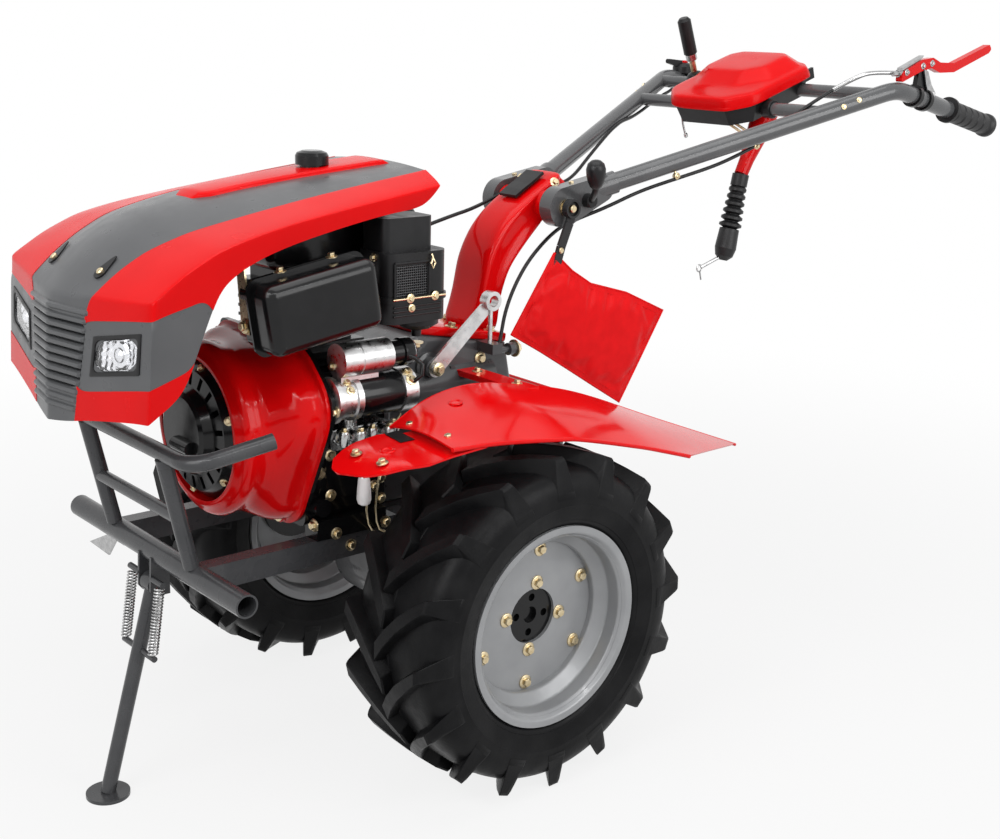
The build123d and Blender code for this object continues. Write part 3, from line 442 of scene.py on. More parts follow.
shape = bmesh.new()
sections = []
for x, inset, roundness in COWL_SECTIONS:
    ring = []
    for i in range(COWL_STEPS):
        degrees = 360 * i / COWL_STEPS
        reach = cowl_round(degrees) * (1 - roundness) + DRUM_RADIUS * roundness + inset
        y, z = reach * cos(radians(degrees)), reach * sin(radians(degrees))
        ring.append(shape.verts.new(at(x, y, z + CRANK_HEIGHT)))
    sections.append(ring)
skin(shape, sections)
cowl = piece_of("cowl", shape, red_paint, "chassis", sharp=60)
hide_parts("blower_shroud")
shape = bmesh.new()
bosses = bmesh.new()
for y, z in ((118, 707), (72, 442), (-112, 707), (-78, 442)):
    turn(bosses, [(0, 14), (12, 14), (14, 12)], at(285, y, z), FORWARD, 28)
    add_bolt(shape, at(299, y, z), FORWARD, 13)
piece_of("shroud_bosses", bosses, red_paint, "chassis")
for x, y, z in (
    (254, 128, 517), (136, 128, 489), (136, 128, 453), (155, 136, 548), (240, 136, 548), (155, 136, 480),
    (240, 136, 480), (140, 148, 418), (237, 148, 418), (143, 145, 391), (207, 145, 391),
):
    for side in (1, -1):
        add_bolt(shape, at(x, side * y, z), LEFTWARD * side, 11)
add_bolts(shape, FORWARD, (273, 140, 437, 12), (273, -140, 437, 12))
for i in range(6):
    angle = radians(20 + 60 * i)
    spoke = Vector((0, cos(angle), sin(angle)))
    seat = at(400, 0, CRANK_HEIGHT) + spoke * 105 / 1000
    add_bolt(shape, seat, FORWARD * 0.66 + spoke * 0.75, 8)
piece_of("engine_bolts", shape, yellow_zinc, "chassis")

# Muffler and hood stay
# Two pressed steel halves seamed together, painted black, on a pipe from the head.
# A zinc strip bolted to its front runs up to the hood.

MUFFLER_TILT = radians(9)
STAY = ((152, 925), (174, 925), (194, 774), (172, 774))

dress(black_paint, "muffler")
shape = bmesh.new()
upright = Vector((sin(MUFFLER_TILT), 0, cos(MUFFLER_TILT)))
lengthwise = Vector((cos(MUFFLER_TILT), 0, -sin(MUFFLER_TILT)))
for reach in (-48, 42):
    add_bolt(shape, at(318, 203, 813) + (lengthwise * reach + upright * 58.8) / 1000, upright, 10)
add_bolts(shape, FORWARD, (416.4, 182, 786, 12))
piece_of("muffler_bolts", shape, yellow_zinc, "chassis")
shape = bmesh.new()
add_plate(shape, [at(413, y, z) for y, z in STAY], FORWARD * 3)
piece_of("hood_stay", shape, yellow_zinc, "chassis")

# Air cleaner
# Moulded black case with wire screens, held by a steel strap; dust bowl with a brass drain under it.

CLEANER_FACE = 220
SCREEN_X = (114, 172)
SCREEN_Y = (156, 196)
SCREEN_Z = (809, 857)
SCREEN_WIRE = 0.6
FRAME_CORNERS = ((110, 861), (176, 861), (176, 805), (110, 805))

black_plastic = finish_of(
    "black_plastic", ((0.006, 0.006, 0.0065), (0.011, 0.011, 0.012), 0.05), (0.28, 0.42, 0.02),
    (0.0001, 0.0016), shine=0.24,
)
dress(black_plastic, "air_cleaner")


def add_wires(shape, count, span, place):
    """Parallel screen wires: place gives the two ends of each from its distance along the span."""
    for i in range(count):
        reach = span[0] + (span[1] - span[0]) * (i + 0.5) / count
        add_tube(shape, points(*place(reach)), SCREEN_WIRE, 6)


shape = bmesh.new()
add_wires(shape, 15, SCREEN_X, lambda x: [(x, CLEANER_FACE - 1.6, z) for z in SCREEN_Z])
add_wires(shape, 12, SCREEN_Z, lambda z: [(x, CLEANER_FACE - 0.9, z) for x in SCREEN_X])
add_wires(shape, 10, SCREEN_Y, lambda y: [(69.6, y, z) for z in SCREEN_Z])
add_wires(shape, 10, SCREEN_Z, lambda z: [(68.9, y, z) for y in SCREEN_Y])
piece_of("cleaner_screens", shape, frame_paint, "chassis")
shape = bmesh.new()
for (x0, z0), (x1, z1) in zip(FRAME_CORNERS, FRAME_CORNERS[1:] + FRAME_CORNERS[:1]):
    add_tube(shape, points((x0, CLEANER_FACE, z0), (x1, CLEANER_FACE, z1)), 2.5, 10)
for z in (779, 786, 793):
    add_tube(shape, points((86, CLEANER_FACE, z), (178, CLEANER_FACE, z)), 1.6, 8)
piece_of("cleaner_frames", shape, black_plastic, "chassis")
shape = bmesh.new()
add_tube(shape, points((182, 224.4, 806), (80, 224.4, 806)), 1.6, 8)
clip = points(
    (107, 223, 872), (107, 226, 866), (103, 227, 858), (107, 226, 850), (111, 227, 858), (107, 226, 866),
)
add_tube(shape, clip, 1.6, 8)
add_bolts(shape, LEFTWARD, (148, 223, 806, 8), (100, 223, 806, 8), (144, 221, 790, 7))
add_bolts(shape, -UPWARD, (105, 182, 725, 13))
add_bolts(shape, FORWARD, (190, 185, 868, 8))
piece_of("cleaner_fittings", shape, yellow_zinc, "chassis")

# Electric starter
# Alloy end housings with a black painted body between them; its solenoid lies on top, with a black cap.
# A short black lead joins the two. The flat shift lever on the gear case has the same bright finish.

STARTER_AXIS = (182, 652)
SOLENOID_AXIS = (190, 715)

alloy = finish_of(
    "alloy", ((0.5, 0.5, 0.5), (0.64, 0.64, 0.64), 0.02), (0.24, 0.4, 0.01), (0.00008, 0.002), 1,
)
dress(alloy, "starter_motor", "selector_lever")
shape = bmesh.new()
body = [(0, 32.5), (0, 33.6), (3, 34.2), (76, 34.2), (79.5, 33.6), (79.5, 32.5)]
turn(shape, body, at(229, *STARTER_AXIS), -FORWARD, 64, closed=True)
cap = [(0, 19.6), (25.6, 19.6), (25.6, 22.6), (42, 22.8), (47.5, 20), (49.5, 16.8)]
turn(shape, cap, at(171, *SOLENOID_AXIS), -FORWARD, 56)
lead = points(
    (136, 206, 668), (134, 218, 672), (126, 226, 682), (124, 224, 698), (132, 216, 708), (142, 208, 712),
)
add_tube(shape, lead, 3.5, 12)
piece_of("starter_body", shape, black_paint, "chassis")
shape = bmesh.new()
add_bolts(shape, FORWARD, (263, 178, 705, 8), (275, 160, 668, 10), (275, 206, 640, 10))
for degrees in (35, 60):
    angle = radians(degrees)
    spoke = Vector((0, cos(angle), sin(angle)))
    add_bolt(shape, at(136, *STARTER_AXIS) + spoke * 35.5 / 1000, spoke, 10)
    add_bolt(shape, at(250, *STARTER_AXIS) + spoke * 32.8 / 1000, spoke, 8)
piece_of("starter_bolts", shape, yellow_zinc, "chassis")

# Injection pump
# Steel pump on the side of the block: hexagon unions with brass banjo bolts, brass leak-off lines.
# The white pull handle stops the engine.

UNIONS = ((246, 24), (222, 36), (196, 30), (168, 38), (150, 22))
UNION_HEIGHT = 587
LEAK_LINES = (
    (
        (196, 186, 578), (208, 196, 545), (212, 200, 500), (206, 188, 462), (188, 168, 430), (168, 152, 408),
        (146, 150, 396),
    ),
    (
        (168, 196, 578), (182, 200, 548), (190, 196, 505), (184, 182, 462), (172, 168, 432), (156, 154, 410),
        (140, 152, 400),
    ),
    ((150, 184, 592), (138, 186, 612), (130, 182, 600), (132, 168, 575)),
)
PULL = [(0, 4.2), (3, 6.6), (10, 9.6), (30, 11.2), (43, 11.8), (50, 9.6), (53, 5)]

white_plastic = finish_of(
    "white_plastic", ((0.72, 0.72, 0.72), (0.8, 0.8, 0.8), 0.02), (0.25, 0.36, 0.01), (0.00005, 0.002),
)
dress(bright_plate, "injection_pump")
nuts = bmesh.new()
brass = bmesh.new()
for x, length in UNIONS:
    root, seal = at(x, 165, UNION_HEIGHT), at(x, 174.2, UNION_HEIGHT)
    neck, eye = at(x, 151 + length, UNION_HEIGHT), at(x, 161 + length, UNION_HEIGHT)
    turn(nuts, [(0, 12.8), (8, 12.8), (9.2, 11.5)], root, LEFTWARD, 6)
    turn(nuts, [(0, 9.5), (11, 9.5), (12, 8.3)], neck, LEFTWARD, 6)
    turn(nuts, [(-12, 7.5), (-9, 8.8), (9, 8.8), (12, 7.5)], eye, UPWARD, 20)
    add_bolt(brass, at(x, 161 + length, UNION_HEIGHT + 12), UPWARD, 8)
    turn(brass, [(0, 8.8), (2.5, 8.8)], seal, LEFTWARD, 20)
piece_of("pump_unions", nuts, bright_plate, "chassis")
for line in LEAK_LINES:
    add_tube(brass, points(*line), 1.7, 8)
piece_of("pump_lines", brass, yellow_zinc, "chassis")
shape = bmesh.new()
turn(shape, PULL, at(219, 200, 530), -UPWARD, 28)
piece_of("stop_handle", shape, white_plastic, "chassis")

# Hood
# Moulded shell over the tank: red sides, grey centre panel and grey lamp panels, clipped together.
# Its nose is a blunt V with louvres; a raised red strip runs along its middle.

HOOD_RIDGE = (
    (44, 412), (160, 403), (287, 391), (400, 376), (470, 359), (492, 350), (530, 332), (549, 320), (580, 296),
    (632, 243),
)
HOOD_SHOULDER = (
    (50, 130, 405), (160, 136, 391), (287, 141, 373), (400, 141, 352), (470, 131, 336), (492, 127, 328),
    (530, 116, 312), (549, 113, 301), (580, 108, 281), (614, 104, 251),
)
HOOD_CREASE = (
    (64, 187, 386), (160, 199, 375), (287, 211, 359), (400, 223, 342), (470, 231, 325), (492, 233, 317),
    (530, 237, 299), (549, 238, 288), (580, 240, 268), (590, 241, 260),
)
HOOD_SKIRT = ((95, 352), (160, 353), (287, 333), (400, 311), (470, 281), (492, 251))
LAMP_BAND = {6: (245, 226, 178, 160), 7: (243, 224, 176, 158, 125), 8: (238, 220, 166, 151, 106)}
NOSE_ROWS = (
    ((0, 208), (46, 210), (92, 213), (109, 216), (215, 232), (240.5, 234)),
    ((0, 189), (44, 190), (88, 192), (111, 196), (216, 216), (240.2, 218)),
    ((0, 135), (40, 136), (80, 137), (103, 139), (214, 160), (239, 162)),
    ((0, 110), (38, 113), (77, 116), (104, 121), (213, 143), (238.5, 148)),
    ((0, 56), (34, 60), (67, 66), (100, 74), (208, 91), (237, 93)),
)
HOOD_WALL = 4
PANEL_STEP = 0.8
STRIP_ENDS = (58, 414)
STRIP_STEPS = 28
STRIP_TAPER = 386
STRIP_SECTION = (
    (-1, -2), (-0.985, 3), (-0.93, 5.4), (-0.8, 6), (-0.4, 6.2), (0, 6.3), (0.4, 6.2), (0.8, 6), (0.93, 5.4),
    (0.985, 3), (1, -2),
)
GRILLE_EDGE = ((58, 20), (77, 115), (92, 212), (104, 244))
LOUVRES = 12
LOUVRE = ((-13, 5.5), (-1.5, 4.6), (2.2, 2.6), (3.6, 0), (3.0, -2.6), (0.4, -4.4), (-13, -3.4))
SHADE_PLATE_CORNERS = ((0, 92), (74, 98), (98, 226), (0, 224))
RED, CENTRE, LAMP = 0, 1, 2

red_plastic = finish_of(
    "red_plastic", ((0.62, 0.002, 0.003), (0.68, 0.003, 0.004), 0.16), (0.2, 0.28, 0.05), (0.00003, 0.003),
    coat=0.03, shine=0.08,
)
grey_plastic = finish_of(
    "grey_plastic", ((0.085, 0.087, 0.091), (0.1, 0.102, 0.106), 0.1), (0.26, 0.38, 0.03), (0.00004, 0.0012),
    coat=0.06, shine=0.22,
)


def nose_x(y, z):
    """How far ahead the nose's face is, at a distance from the middle and a height above the crank."""
    return 649 - 0.1708 * abs(y) - 0.0699 * (z - 5)


def evaluated(piece):
    """Mesh of a piece with its modifiers applied."""
    return bpy.data.meshes.new_from_object(piece.evaluated_get(bpy.context.evaluated_depsgraph_get()))


def thicken(shape, thickness):
    """Give an open sheet its wall, on its inner side."""
    shape.normal_update()
    rims = [tuple(edge.verts) for edge in shape.edges if len(edge.link_faces) == 1]
    faces = list(shape.faces)
    under = {}
    for vertex in list(shape.verts):
        under[vertex] = shape.verts.new(vertex.co - vertex.normal * thickness / 1000)
    for face in faces:
        shape.faces.new([under[vertex] for vertex in reversed(face.verts)])
    for a, b in rims:
        shape.faces.new((a, b, under[b], under[a]))


def grille_half(height):
    """Half width of the grille at a height above the crank."""
    for (y0, z0), (y1, z1) in zip(GRILLE_EDGE, GRILLE_EDGE[1:]):
        if height <= z1:
            break
    return y0 + (y1 - y0) * (height - z0) / (z1 - z0)


cage = {}
for i, ((rx, rz), (sx, sy, sz), (cx, cy, cz)) in enumerate(zip(HOOD_RIDGE, HOOD_SHOULDER, HOOD_CREASE)):
    cage["top", i, 0] = (rx, 0, rz)
    cage["top", i, 1] = ((rx + sx) / 2, sy * 0.52, rz - (rz - sz) * 0.26)
    cage["top", i, 2] = (sx, sy, sz)
    cage["top", i, 3] = (sx + (cx - sx) * 0.1, sy + (cy - sy) * 0.1, sz + (cz - sz) * 0.06)
    cage["top", i, 4] = (sx + (cx - sx) * 0.78, sy + (cy - sy) * 0.78, sz + (cz - sz) * 0.66)
    cage["top", i, 5] = (cx, cy, cz)
    edges = [HOOD_SKIRT[i]] if i < len(HOOD_SKIRT) else [(cx, z) for z in LAMP_BAND.get(i, ())]
    for k, (x, z) in enumerate(edges):
        cage["side", i, k] = (x, cy - 8 * (cz - z) / (cz - 15), z)
for r, row in enumerate(NOSE_ROWS):
    for j, (y, z) in enumerate(row):
        cage["nose", r, j] = (nose_x(y, z), y, z)


def patch(area, i, j):
    """Keys of four neighbouring corners of one area of the cage."""
    return [(area, i, j), (area, i + 1, j), (area, i + 1, j + 1), (area, i, j + 1)]


panels = []
for i in range(9):
    for j in range(5):
        panels.append((patch("top", i, j), CENTRE if j < 2 else RED))
    ahead = ("nose", 0, 5) if i == 8 else ("side", i + 1, 0)
    panels.append(([("top", i, 5), ("top", i + 1, 5), ahead, ("side", i, 0)], RED))
for k in range(4):
    kind = LAMP if k < 3 else RED
    if kind == LAMP:
        panels.append(([("side", 5, 0), ("side", 6, k), ("side", 6, k + 1)], kind))
        panels.append((patch("side", 6, k), kind))
    else:
        panels.append(([("side", 6, k), ("side", 7, k), ("side", 7, k + 1)], kind))
    panels.append((patch("side", 7, k), kind))
    panels.append(([("side", 8, k), ("nose", k, 5), ("nose", k + 1, 5), ("side", 8, k + 1)], kind))
for j in range(5):
    kind = CENTRE if j < 2 else RED
    panels.append(([("top", 9, j), ("nose", 0, j), ("nose", 0, j + 1), ("top", 9, j + 1)], kind))
    for r in range(3):
        if kind == RED and (r, j) != (1, 3):
            panels.append((patch("nose", r, j), LAMP))
    panels.append((patch("nose", 3, j), kind))
shape = bmesh.new()
crease = shape.edges.layers.float.new("crease_edge")
placed = {}
for side in (1, -1):
    for corners, kind in panels:
        ring = []
        for key in corners:
            x, y, z = cage[key]
            spot = (key, side if y else 0)
            if spot not in placed:
                placed[spot] = shape.verts.new(at(x, side * y, z + CRANK_HEIGHT))
            ring.append(placed[spot])
        shape.faces.new(ring).material_index = kind
keys = {vertex: key for (key, side), vertex in placed.items()}
for edge in shape.edges:
    (area, r, j), (other_area, other_r, other_j) = [keys[vertex] for vertex in edge.verts]
    if area == other_area == "top":
        if j == other_j and j in (2, 5) or r == other_r == 9:
            edge[crease] = 0.8
    if area == other_area == "nose":
        if j == other_j and j in (0, 5):
            edge[crease] = 0.7
        if len(edge.link_faces) == 1 and 4 not in (r, other_r):
            edge[crease] = 1
bmesh.ops.recalc_face_normals(shape, faces=shape.faces)
drawn = show("hood_cage", mesh_of("hood_cage", shape))
drawn.modifiers.new("rounding", "SUBSURF").levels = 3
rounded = evaluated(drawn)
bpy.data.objects.remove(drawn)
hood = bmesh.new()
hood.from_mesh(rounded)
hood.normal_update()
if sum(face.normal.z * face.calc_area() for face in hood.faces) < 0:
    bmesh.ops.reverse_faces(hood, faces=hood.faces)
    hood.normal_update()
hood_surface = BVHTree.FromBMesh(hood)
for kind, name, node, material, slot in (
    (RED, "hood_sides", "hood_shell", red_plastic, "red_plastic"),
    (CENTRE, "hood_top", "hood_centre", grey_plastic, "grey_plastic"),
    (LAMP, "hood_lamp_panels", "lamp_panels", grey_plastic, "grey_plastic"),
):
    shape = hood.copy()
    away = [face for face in shape.faces if face.material_index != kind]
    bmesh.ops.delete(shape, geom=away, context="FACES")
    for face in shape.faces:
        face.material_index = 0
    shape.normal_update()
    if kind != RED:
        for vertex in shape.verts:
            vertex.co -= vertex.normal * PANEL_STEP / 1000
    thicken(shape, HOOD_WALL)
    panel = piece_of(name, shape, material, "chassis", sharp=50)
    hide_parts(node)
hood.free()
bpy.data.meshes.remove(rounded)

shape = bmesh.new()
strip = []
for i in range(STRIP_STEPS + 1):
    share = i / STRIP_STEPS
    x = STRIP_ENDS[0] + (STRIP_ENDS[1] - STRIP_ENDS[0]) * share
    half = 46 - 4 * share if x < STRIP_TAPER else 42 - 18 * (x - STRIP_TAPER) / 28
    row = []
    for across_share, raised in STRIP_SECTION:
        hit = hood_surface.ray_cast(at(x, half * across_share, 1300), -UPWARD)[0]
        lift = -2 if i in (0, STRIP_STEPS) else raised
        row.append(shape.verts.new(hit + UPWARD * lift / 1000))
    strip.append(row)
skin(shape, strip, around=False, caps=False)
piece_of("hood_strip", shape, red_plastic, "chassis", sharp=50)

shape = bmesh.new()
for k in range(LOUVRES):
    height = 84 + 13 * k
    slices = []
    for share in (-1, -0.97, -0.6, -0.25, -0.04, 0, 0.04, 0.25, 0.6, 0.97, 1):
        y = (grille_half(height) - 1.5) * share
        x = nose_x(y, height) - (3.5 if abs(share) == 1 else 0)
        slices.append([shape.verts.new(at(x + dx, y, height + dz + CRANK_HEIGHT)) for dx, dz in LOUVRE])
    skin(shape, slices)
piece_of("grille_louvres", shape, grey_plastic, "chassis", sharp=24)
# Painted shade: a black plate just behind the louvres darkens the gaps between them, standing in for the
# shade inside the nose.
shape = bmesh.new()
for side in (1, -1):
    corners = [at(nose_x(y, z) - 12, side * y, z + CRANK_HEIGHT) for y, z in SHADE_PLATE_CORNERS]
    add_plate(shape, corners, FORWARD * -2)
piece_of("grille_shade_plate", shape, black_plastic, "chassis")

# Headlamps
# Clear moulded lenses in black bezels, let into the grey panels; chrome reflectors and bulbs behind.
# Above each, a zinc screw holds the hood; a black teardrop plate under it is painted shade for the screw's
# recess.

LENS_CORNERS = ((617, 111, 781), (597, 216, 801), (602, 214, 745), (622, 103, 724))
LENS_NORMAL = Vector((0.98, 0.17, 0.07)).normalized()
FACET_COLUMNS = 9
FACET_ROWS = 5
LENS_COLUMNS = 12
LENS_ROWS = 6
BULB = [(0, 20), (2, 20), (4, 17.5), (4, 11), (6, 10), (8.5, 6), (9.5, 2)]
BEZEL_RINGS = (
    (-0.01, 16, 0.02), (-0.01, -0.6, 0.02), (0.02, -1.4, 0.06), (0.05, -0.8, 0.09), (0.06, 3.2, 0.09),
    (0.06, 16, 0.09),
)
LENS_RATIO = 1.75
SCREW_PLACE = (587, 78, 866)
SCREW_WAY = (0.65, 0.09, 0.75)

chrome = finish_of(
    "chrome", ((0.8, 0.8, 0.82), (0.88, 0.88, 0.9), 0.02), (0.05, 0.1, 0.01), (0.00002, 0.002), 1,
)
lens_clear = finish_of(
    "lens_clear", ((0.96, 0.97, 0.98), (0.99, 0.99, 1.0), 0.03), (0.01, 0.03, 0.02), (0.00002, 0.004),
    shine=0.5,
)
fill(lens_clear.node_tree.nodes["Principled BSDF"], {"Transmission Weight": 1, "IOR": 1.45})


def across_lens(s, t, depth, side):
    """Point of a lamp from its share across and down the lens and its depth behind the nose."""
    corners = [at(x, side * y, z) for x, y, z in LENS_CORNERS]
    top = corners[0].lerp(corners[1], s)
    foot = corners[3].lerp(corners[2], s)
    normal = Vector((LENS_NORMAL.x, side * LENS_NORMAL.y, LENS_NORMAL.z))
    return top.lerp(foot, t) - normal * depth / 1000


def on_reflector(i, j, side):
    """Corner of the dented facets of a reflector by column and row."""
    s, t = i / (FACET_COLUMNS * 2), j / (FACET_ROWS * 2)
    bowl = 7 * (1 - (2 * s - 1) ** 4) * (1 - (2 * t - 1) ** 4)
    facet = 1.6 if i % 2 and j % 2 else 0
    return across_lens(0.01 + 0.98 * s, 0.02 + 0.96 * t, 5 + bowl + facet, side)


def on_lens(i, j, side):
    """Corner of the crowned lens by column and row."""
    s, t = i / LENS_COLUMNS, j / LENS_ROWS
    crown = 1.2 * (1 - (2 * s - 1) ** 2) * (1 - (2 * t - 1) ** 2)
    return across_lens(0.015 + 0.97 * s, 0.025 + 0.95 * t, 2.4 - crown, side)


def add_grid(shape, columns, rows, place, which):
    """Sheet of faces whose corners place gives from their column and row, and which of two it is."""
    grid = []
    for j in range(rows + 1):
        grid.append([shape.verts.new(place(i, j, which)) for i in range(columns + 1)])
    skin(shape, grid, around=False, caps=False)
    return grid


for name, side in SIDES:
    shape = bmesh.new()
    add_grid(shape, FACET_COLUMNS * 2, FACET_ROWS * 2, on_reflector, side)
    reflector = piece_of("reflector_" + name, shape, chrome, "chassis", sharp=6)
    reflector.modifiers.new("wall", "SOLIDIFY").thickness = 0.001
    shape = bmesh.new()
    outward = Vector((LENS_NORMAL.x, side * LENS_NORMAL.y, LENS_NORMAL.z))
    turn(shape, BULB, across_lens(0.5, 0.5, 11.5, side), outward, 32)
    piece_of("bulb_" + name, shape, chrome, "chassis", sharp=25)
    shape = bmesh.new()
    add_grid(shape, LENS_COLUMNS, LENS_ROWS, on_lens, side)
    lens = piece_of("lens_" + name, shape, lens_clear, "chassis", sharp=40)
    wall = lens.modifiers.new("wall", "SOLIDIFY")
    wall.thickness = 0.0015
    wall.offset = 0
    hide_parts("headlamps")
    shape = bmesh.new()
    rings = []
    for inset, depth, corner in BEZEL_RINGS:
        edge = inset + corner
        ring = []
        for i in range(32):
            s_way, t_way = ((1, 1), (0, 1), (0, 0), (1, 0))[i // 8]
            bend = radians(90 * (i // 8) + 90 * (i % 8) / 7)
            s = (1 - edge if s_way else edge) + corner * cos(bend)
            t = (1 - LENS_RATIO * edge if t_way else LENS_RATIO * edge) + LENS_RATIO * corner * sin(bend)
            ring.append(shape.verts.new(across_lens(s, t, depth, side)))
        rings.append(ring)
    skin(shape, rings, caps=False)
    shape.faces.new(rings[0])
    piece_of("bezel_" + name, shape, black_plastic, "chassis")
    # Painted shade: a black teardrop plate on the hood stands in for the shade in the screw's recess.
    shape = bmesh.new()
    way = Vector((SCREW_WAY[0], side * SCREW_WAY[1], SCREW_WAY[2])).normalized()
    uphill = (way * way.x - FORWARD).normalized()
    level = way.cross(uphill)
    seat = at(SCREW_PLACE[0], side * SCREW_PLACE[1], SCREW_PLACE[2])
    rim = []
    for i in range(36):
        angle = 2 * pi * i / 36
        stretch = 12 + 20 * max(0, cos(angle)) ** 3
        reach = uphill * cos(angle) * stretch + level * sin(angle) * 10.5 - way
        rim.append(seat + reach / 1000)
    add_plate(shape, rim, way * 1.6)
    piece_of("screw_recess_shade_" + name, shape, black_plastic, "chassis")
    shape = bmesh.new()
    turn(shape, [(0, 5.6), (2.8, 5.6), (4.2, 4)], seat, way, 24)
    piece_of("hood_screw_" + name, shape, yellow_zinc, "chassis")

# Column
# Hollow arched casting, painted red, bolted to the gear case; its bosses carry the handlebar's pivot bolt.
# A dark plate closes the opening in its crown.

ARCH = (
    ((-116, 688), (-180, 672)), ((-132, 722), (-184, 712)), ((-143, 756), (-188, 745)),
    ((-148, 784), (-196, 768)), ((-153, 810), (-206, 792)), ((-164, 836), (-221, 812)),
    ((-178, 860), (-238, 830)), ((-196, 881), (-254, 847)), ((-217, 899), (-272, 864)),
    ((-242, 915), (-290, 882)), ((-268, 930), (-310, 905)), ((-300, 949), (-328, 926)),
    ((-330, 966), (-346, 946)),
)
ARCH_HALF_WIDTH = 47
ARCH_SECTION = (
    (0, 0.0), (0, 0.45), (0.015, 0.72), (0.06, 0.9), (0.16, 0.985), (0.34, 0.94), (0.58, 0.88), (0.8, 0.96),
    (0.93, 1.0), (0.98, 0.96), (1, 0.85), (1, 0.0),
)
SEAT = ((24, 708), (-175, 671))
PIVOT = (-292, 905)
PLATE = ((-238, 918), (-254, 928), (-272, 938), (-290, 949), (-303, 957))


def round_off(piece, levels):
    """Round a piece by subdivision."""
    rounding = piece.modifiers.new("rounding", "SUBSURF")
    rounding.levels = levels
    rounding.render_levels = levels


shape = bmesh.new()
sections = []
for (front_x, front_z), (rear_x, rear_z) in ARCH:
    half = []
    for share, width in ARCH_SECTION:
        x, z = front_x + (rear_x - front_x) * share, front_z + (rear_z - front_z) * share
        half.append((x, width * ARCH_HALF_WIDTH, z))
    loop = half + [(x, -y, z) for x, y, z in reversed(half[1:-1])]
    sections.append([shape.verts.new(point) for point in points(*loop)])
skin(shape, sections)
casting = piece_of("column_casting", shape, red_paint, "chassis", sharp=50)
round_off(casting, 2)
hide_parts("column")
shape = bmesh.new()
deck = [at(x, 77, z) for x, z in SEAT] + [at(x, -77, z) for x, z in reversed(SEAT)]
add_plate(shape, deck, Vector((-3, 0, 15.7)))
bmesh.ops.bevel(
    shape, geom=shape.edges[:], offset=0.004, offset_type="OFFSET", segments=3, profile=0.5, affect="EDGES",
)
for side in (1, -1):
    boss = [(0, 30), (12, 27), (26, 26), (28, 24)]
    turn(shape, boss, at(PIVOT[0], side * 36, PIVOT[1]), LEFTWARD * side, 40)
piece_of("column_base", shape, red_paint, "chassis")
shape = bmesh.new()
for (x, z), (x_next, z_next) in zip(PLATE, PLATE[1:]):
    corners = points((x, -23, z), (x_next, -23, z_next), (x_next, 23, z_next), (x, 23, z))
    add_plate(shape, corners, Vector((2.5, 0, 4.5)))
bmesh.ops.remove_doubles(shape, verts=shape.verts, dist=0.0001)
cover = piece_of("column_plate", shape, black_plastic, "chassis")
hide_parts("column_cover")
shape = bmesh.new()
for side in (1, -1):
    add_bolt(shape, at(-309, side * 45, 944), Vector((0.23, side * 0.85, 0.47)), 10)
for side in (1, -1):
    seat = at(PIVOT[0], side * 94.6, PIVOT[1])
    for profile, steps in (
        ([(-34, 7), (22, 7), (23.5, 5.5)], 24),
        ([(0, 14.5), (2.5, 14.5)], 28),
        ([(2.5, 11.8), (8.5, 11.8), (9.5, 10.5)], 6),
    ):
        turn(shape, profile, seat, LEFTWARD * side, steps)
piece_of("pivot_bolt", shape, yellow_zinc, "chassis")

# Handlebar
# Cast brackets turn on the pivot bolt and hold two bent tubes, all painted grey; ribbed rubber grips.
# Cross tubes carry the console; a clamp lever with a black grip holds the height.

CLAMP_GRIP = [(0, 9), (2, 11), (10, 14.5), (22, 17), (34, 17.5), (43, 15), (48, 10), (50, 3)]

grey_paint = finish_of(
    "grey_paint", ((0.066, 0.068, 0.071), (0.084, 0.086, 0.089), 0.08), (0.2, 0.32, 0.03), (0.00005, 0.003),
    coat=0.35,
)
grip_rubber = finish_of(
    "grip_rubber", ((0.006, 0.006, 0.0065), (0.011, 0.011, 0.012), 0.02), (0.36, 0.5, 0.01), (0.0001, 0.0012),
)
dress(grey_paint, "handlebar_brackets", "handlebar")
dress(grip_rubber, "grips")
shape = bmesh.new()
turn(shape, [(0, 13), (14, 13), (16, 11)], at(-345, 94.5, 915), LEFTWARD, 32)
add_tube(shape, points((-345, 104, 915), (-326, 132, 930), (-314, 148, 942), (-310, 152, 950)), 6, 14)
turn(shape, CLAMP_GRIP, at(-311, 151, 946), Vector((0.25, 0.2, 0.95)), 36)
knob = piece_of("clamp_grip", shape, black_plastic, "handlebar", sharp=40)
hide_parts("clamp_knob")
shape = bmesh.new()
for side in (1, -1):
    for x, y, z in ((-838, 274, 1083), (-869, 285, 1096)):
        add_bolt(shape, at(x, side * y, z), Vector((0.42, side * 0.88, 0.21)), 6)
    add_bolt(shape, at(-320, side * 78, 943), Vector((0.17, 0, 0.99)), 9)
piece_of("bar_bolts", shape, yellow_zinc, "handlebar")
shape = bmesh.new()
sleeve = [(0, 16.5), (2, 18.5), (20, 18.5), (22, 16.5)]
turn(shape, sleeve, at(-815, 104, 1070), LEFTWARD, 36)
piece_of("cross_tube_sleeve", shape, black_plastic, "handlebar")

# Console
# Red moulded lid on a black tray, saddled on the cross tubes; a stalk and bronze lines hang under it.

CONSOLE_SLOPE = radians(17.7)
CONSOLE_PLACE = (-852, 1082)
LID_RINGS = (
    (0, 18, 120, 116, 46, 26), (0, 22, 120, 116, 46, 26), (0, 38, 118, 114, 46, 26),
    (0, 43, 115, 111, 46, 26), (-3, 45, 110, 106, 50, 28), (-22, 47, 90, 100, 52, 28),
    (-27, 52, 82, 95, 48, 27), (-34, 64, 66, 79, 34, 22), (-36, 68, 61, 74, 28, 20),
    (-36, 70, 54, 66, 24, 18), (-36, 70.5, 30, 40, 12, 10),
)
LINE_BEND = ((-788, -4, 1056), (-798, 10, 1042), (-818, 28, 1026), (-836, 40, 1012), (-848, 46, 998))

dress(black_plastic, "console")


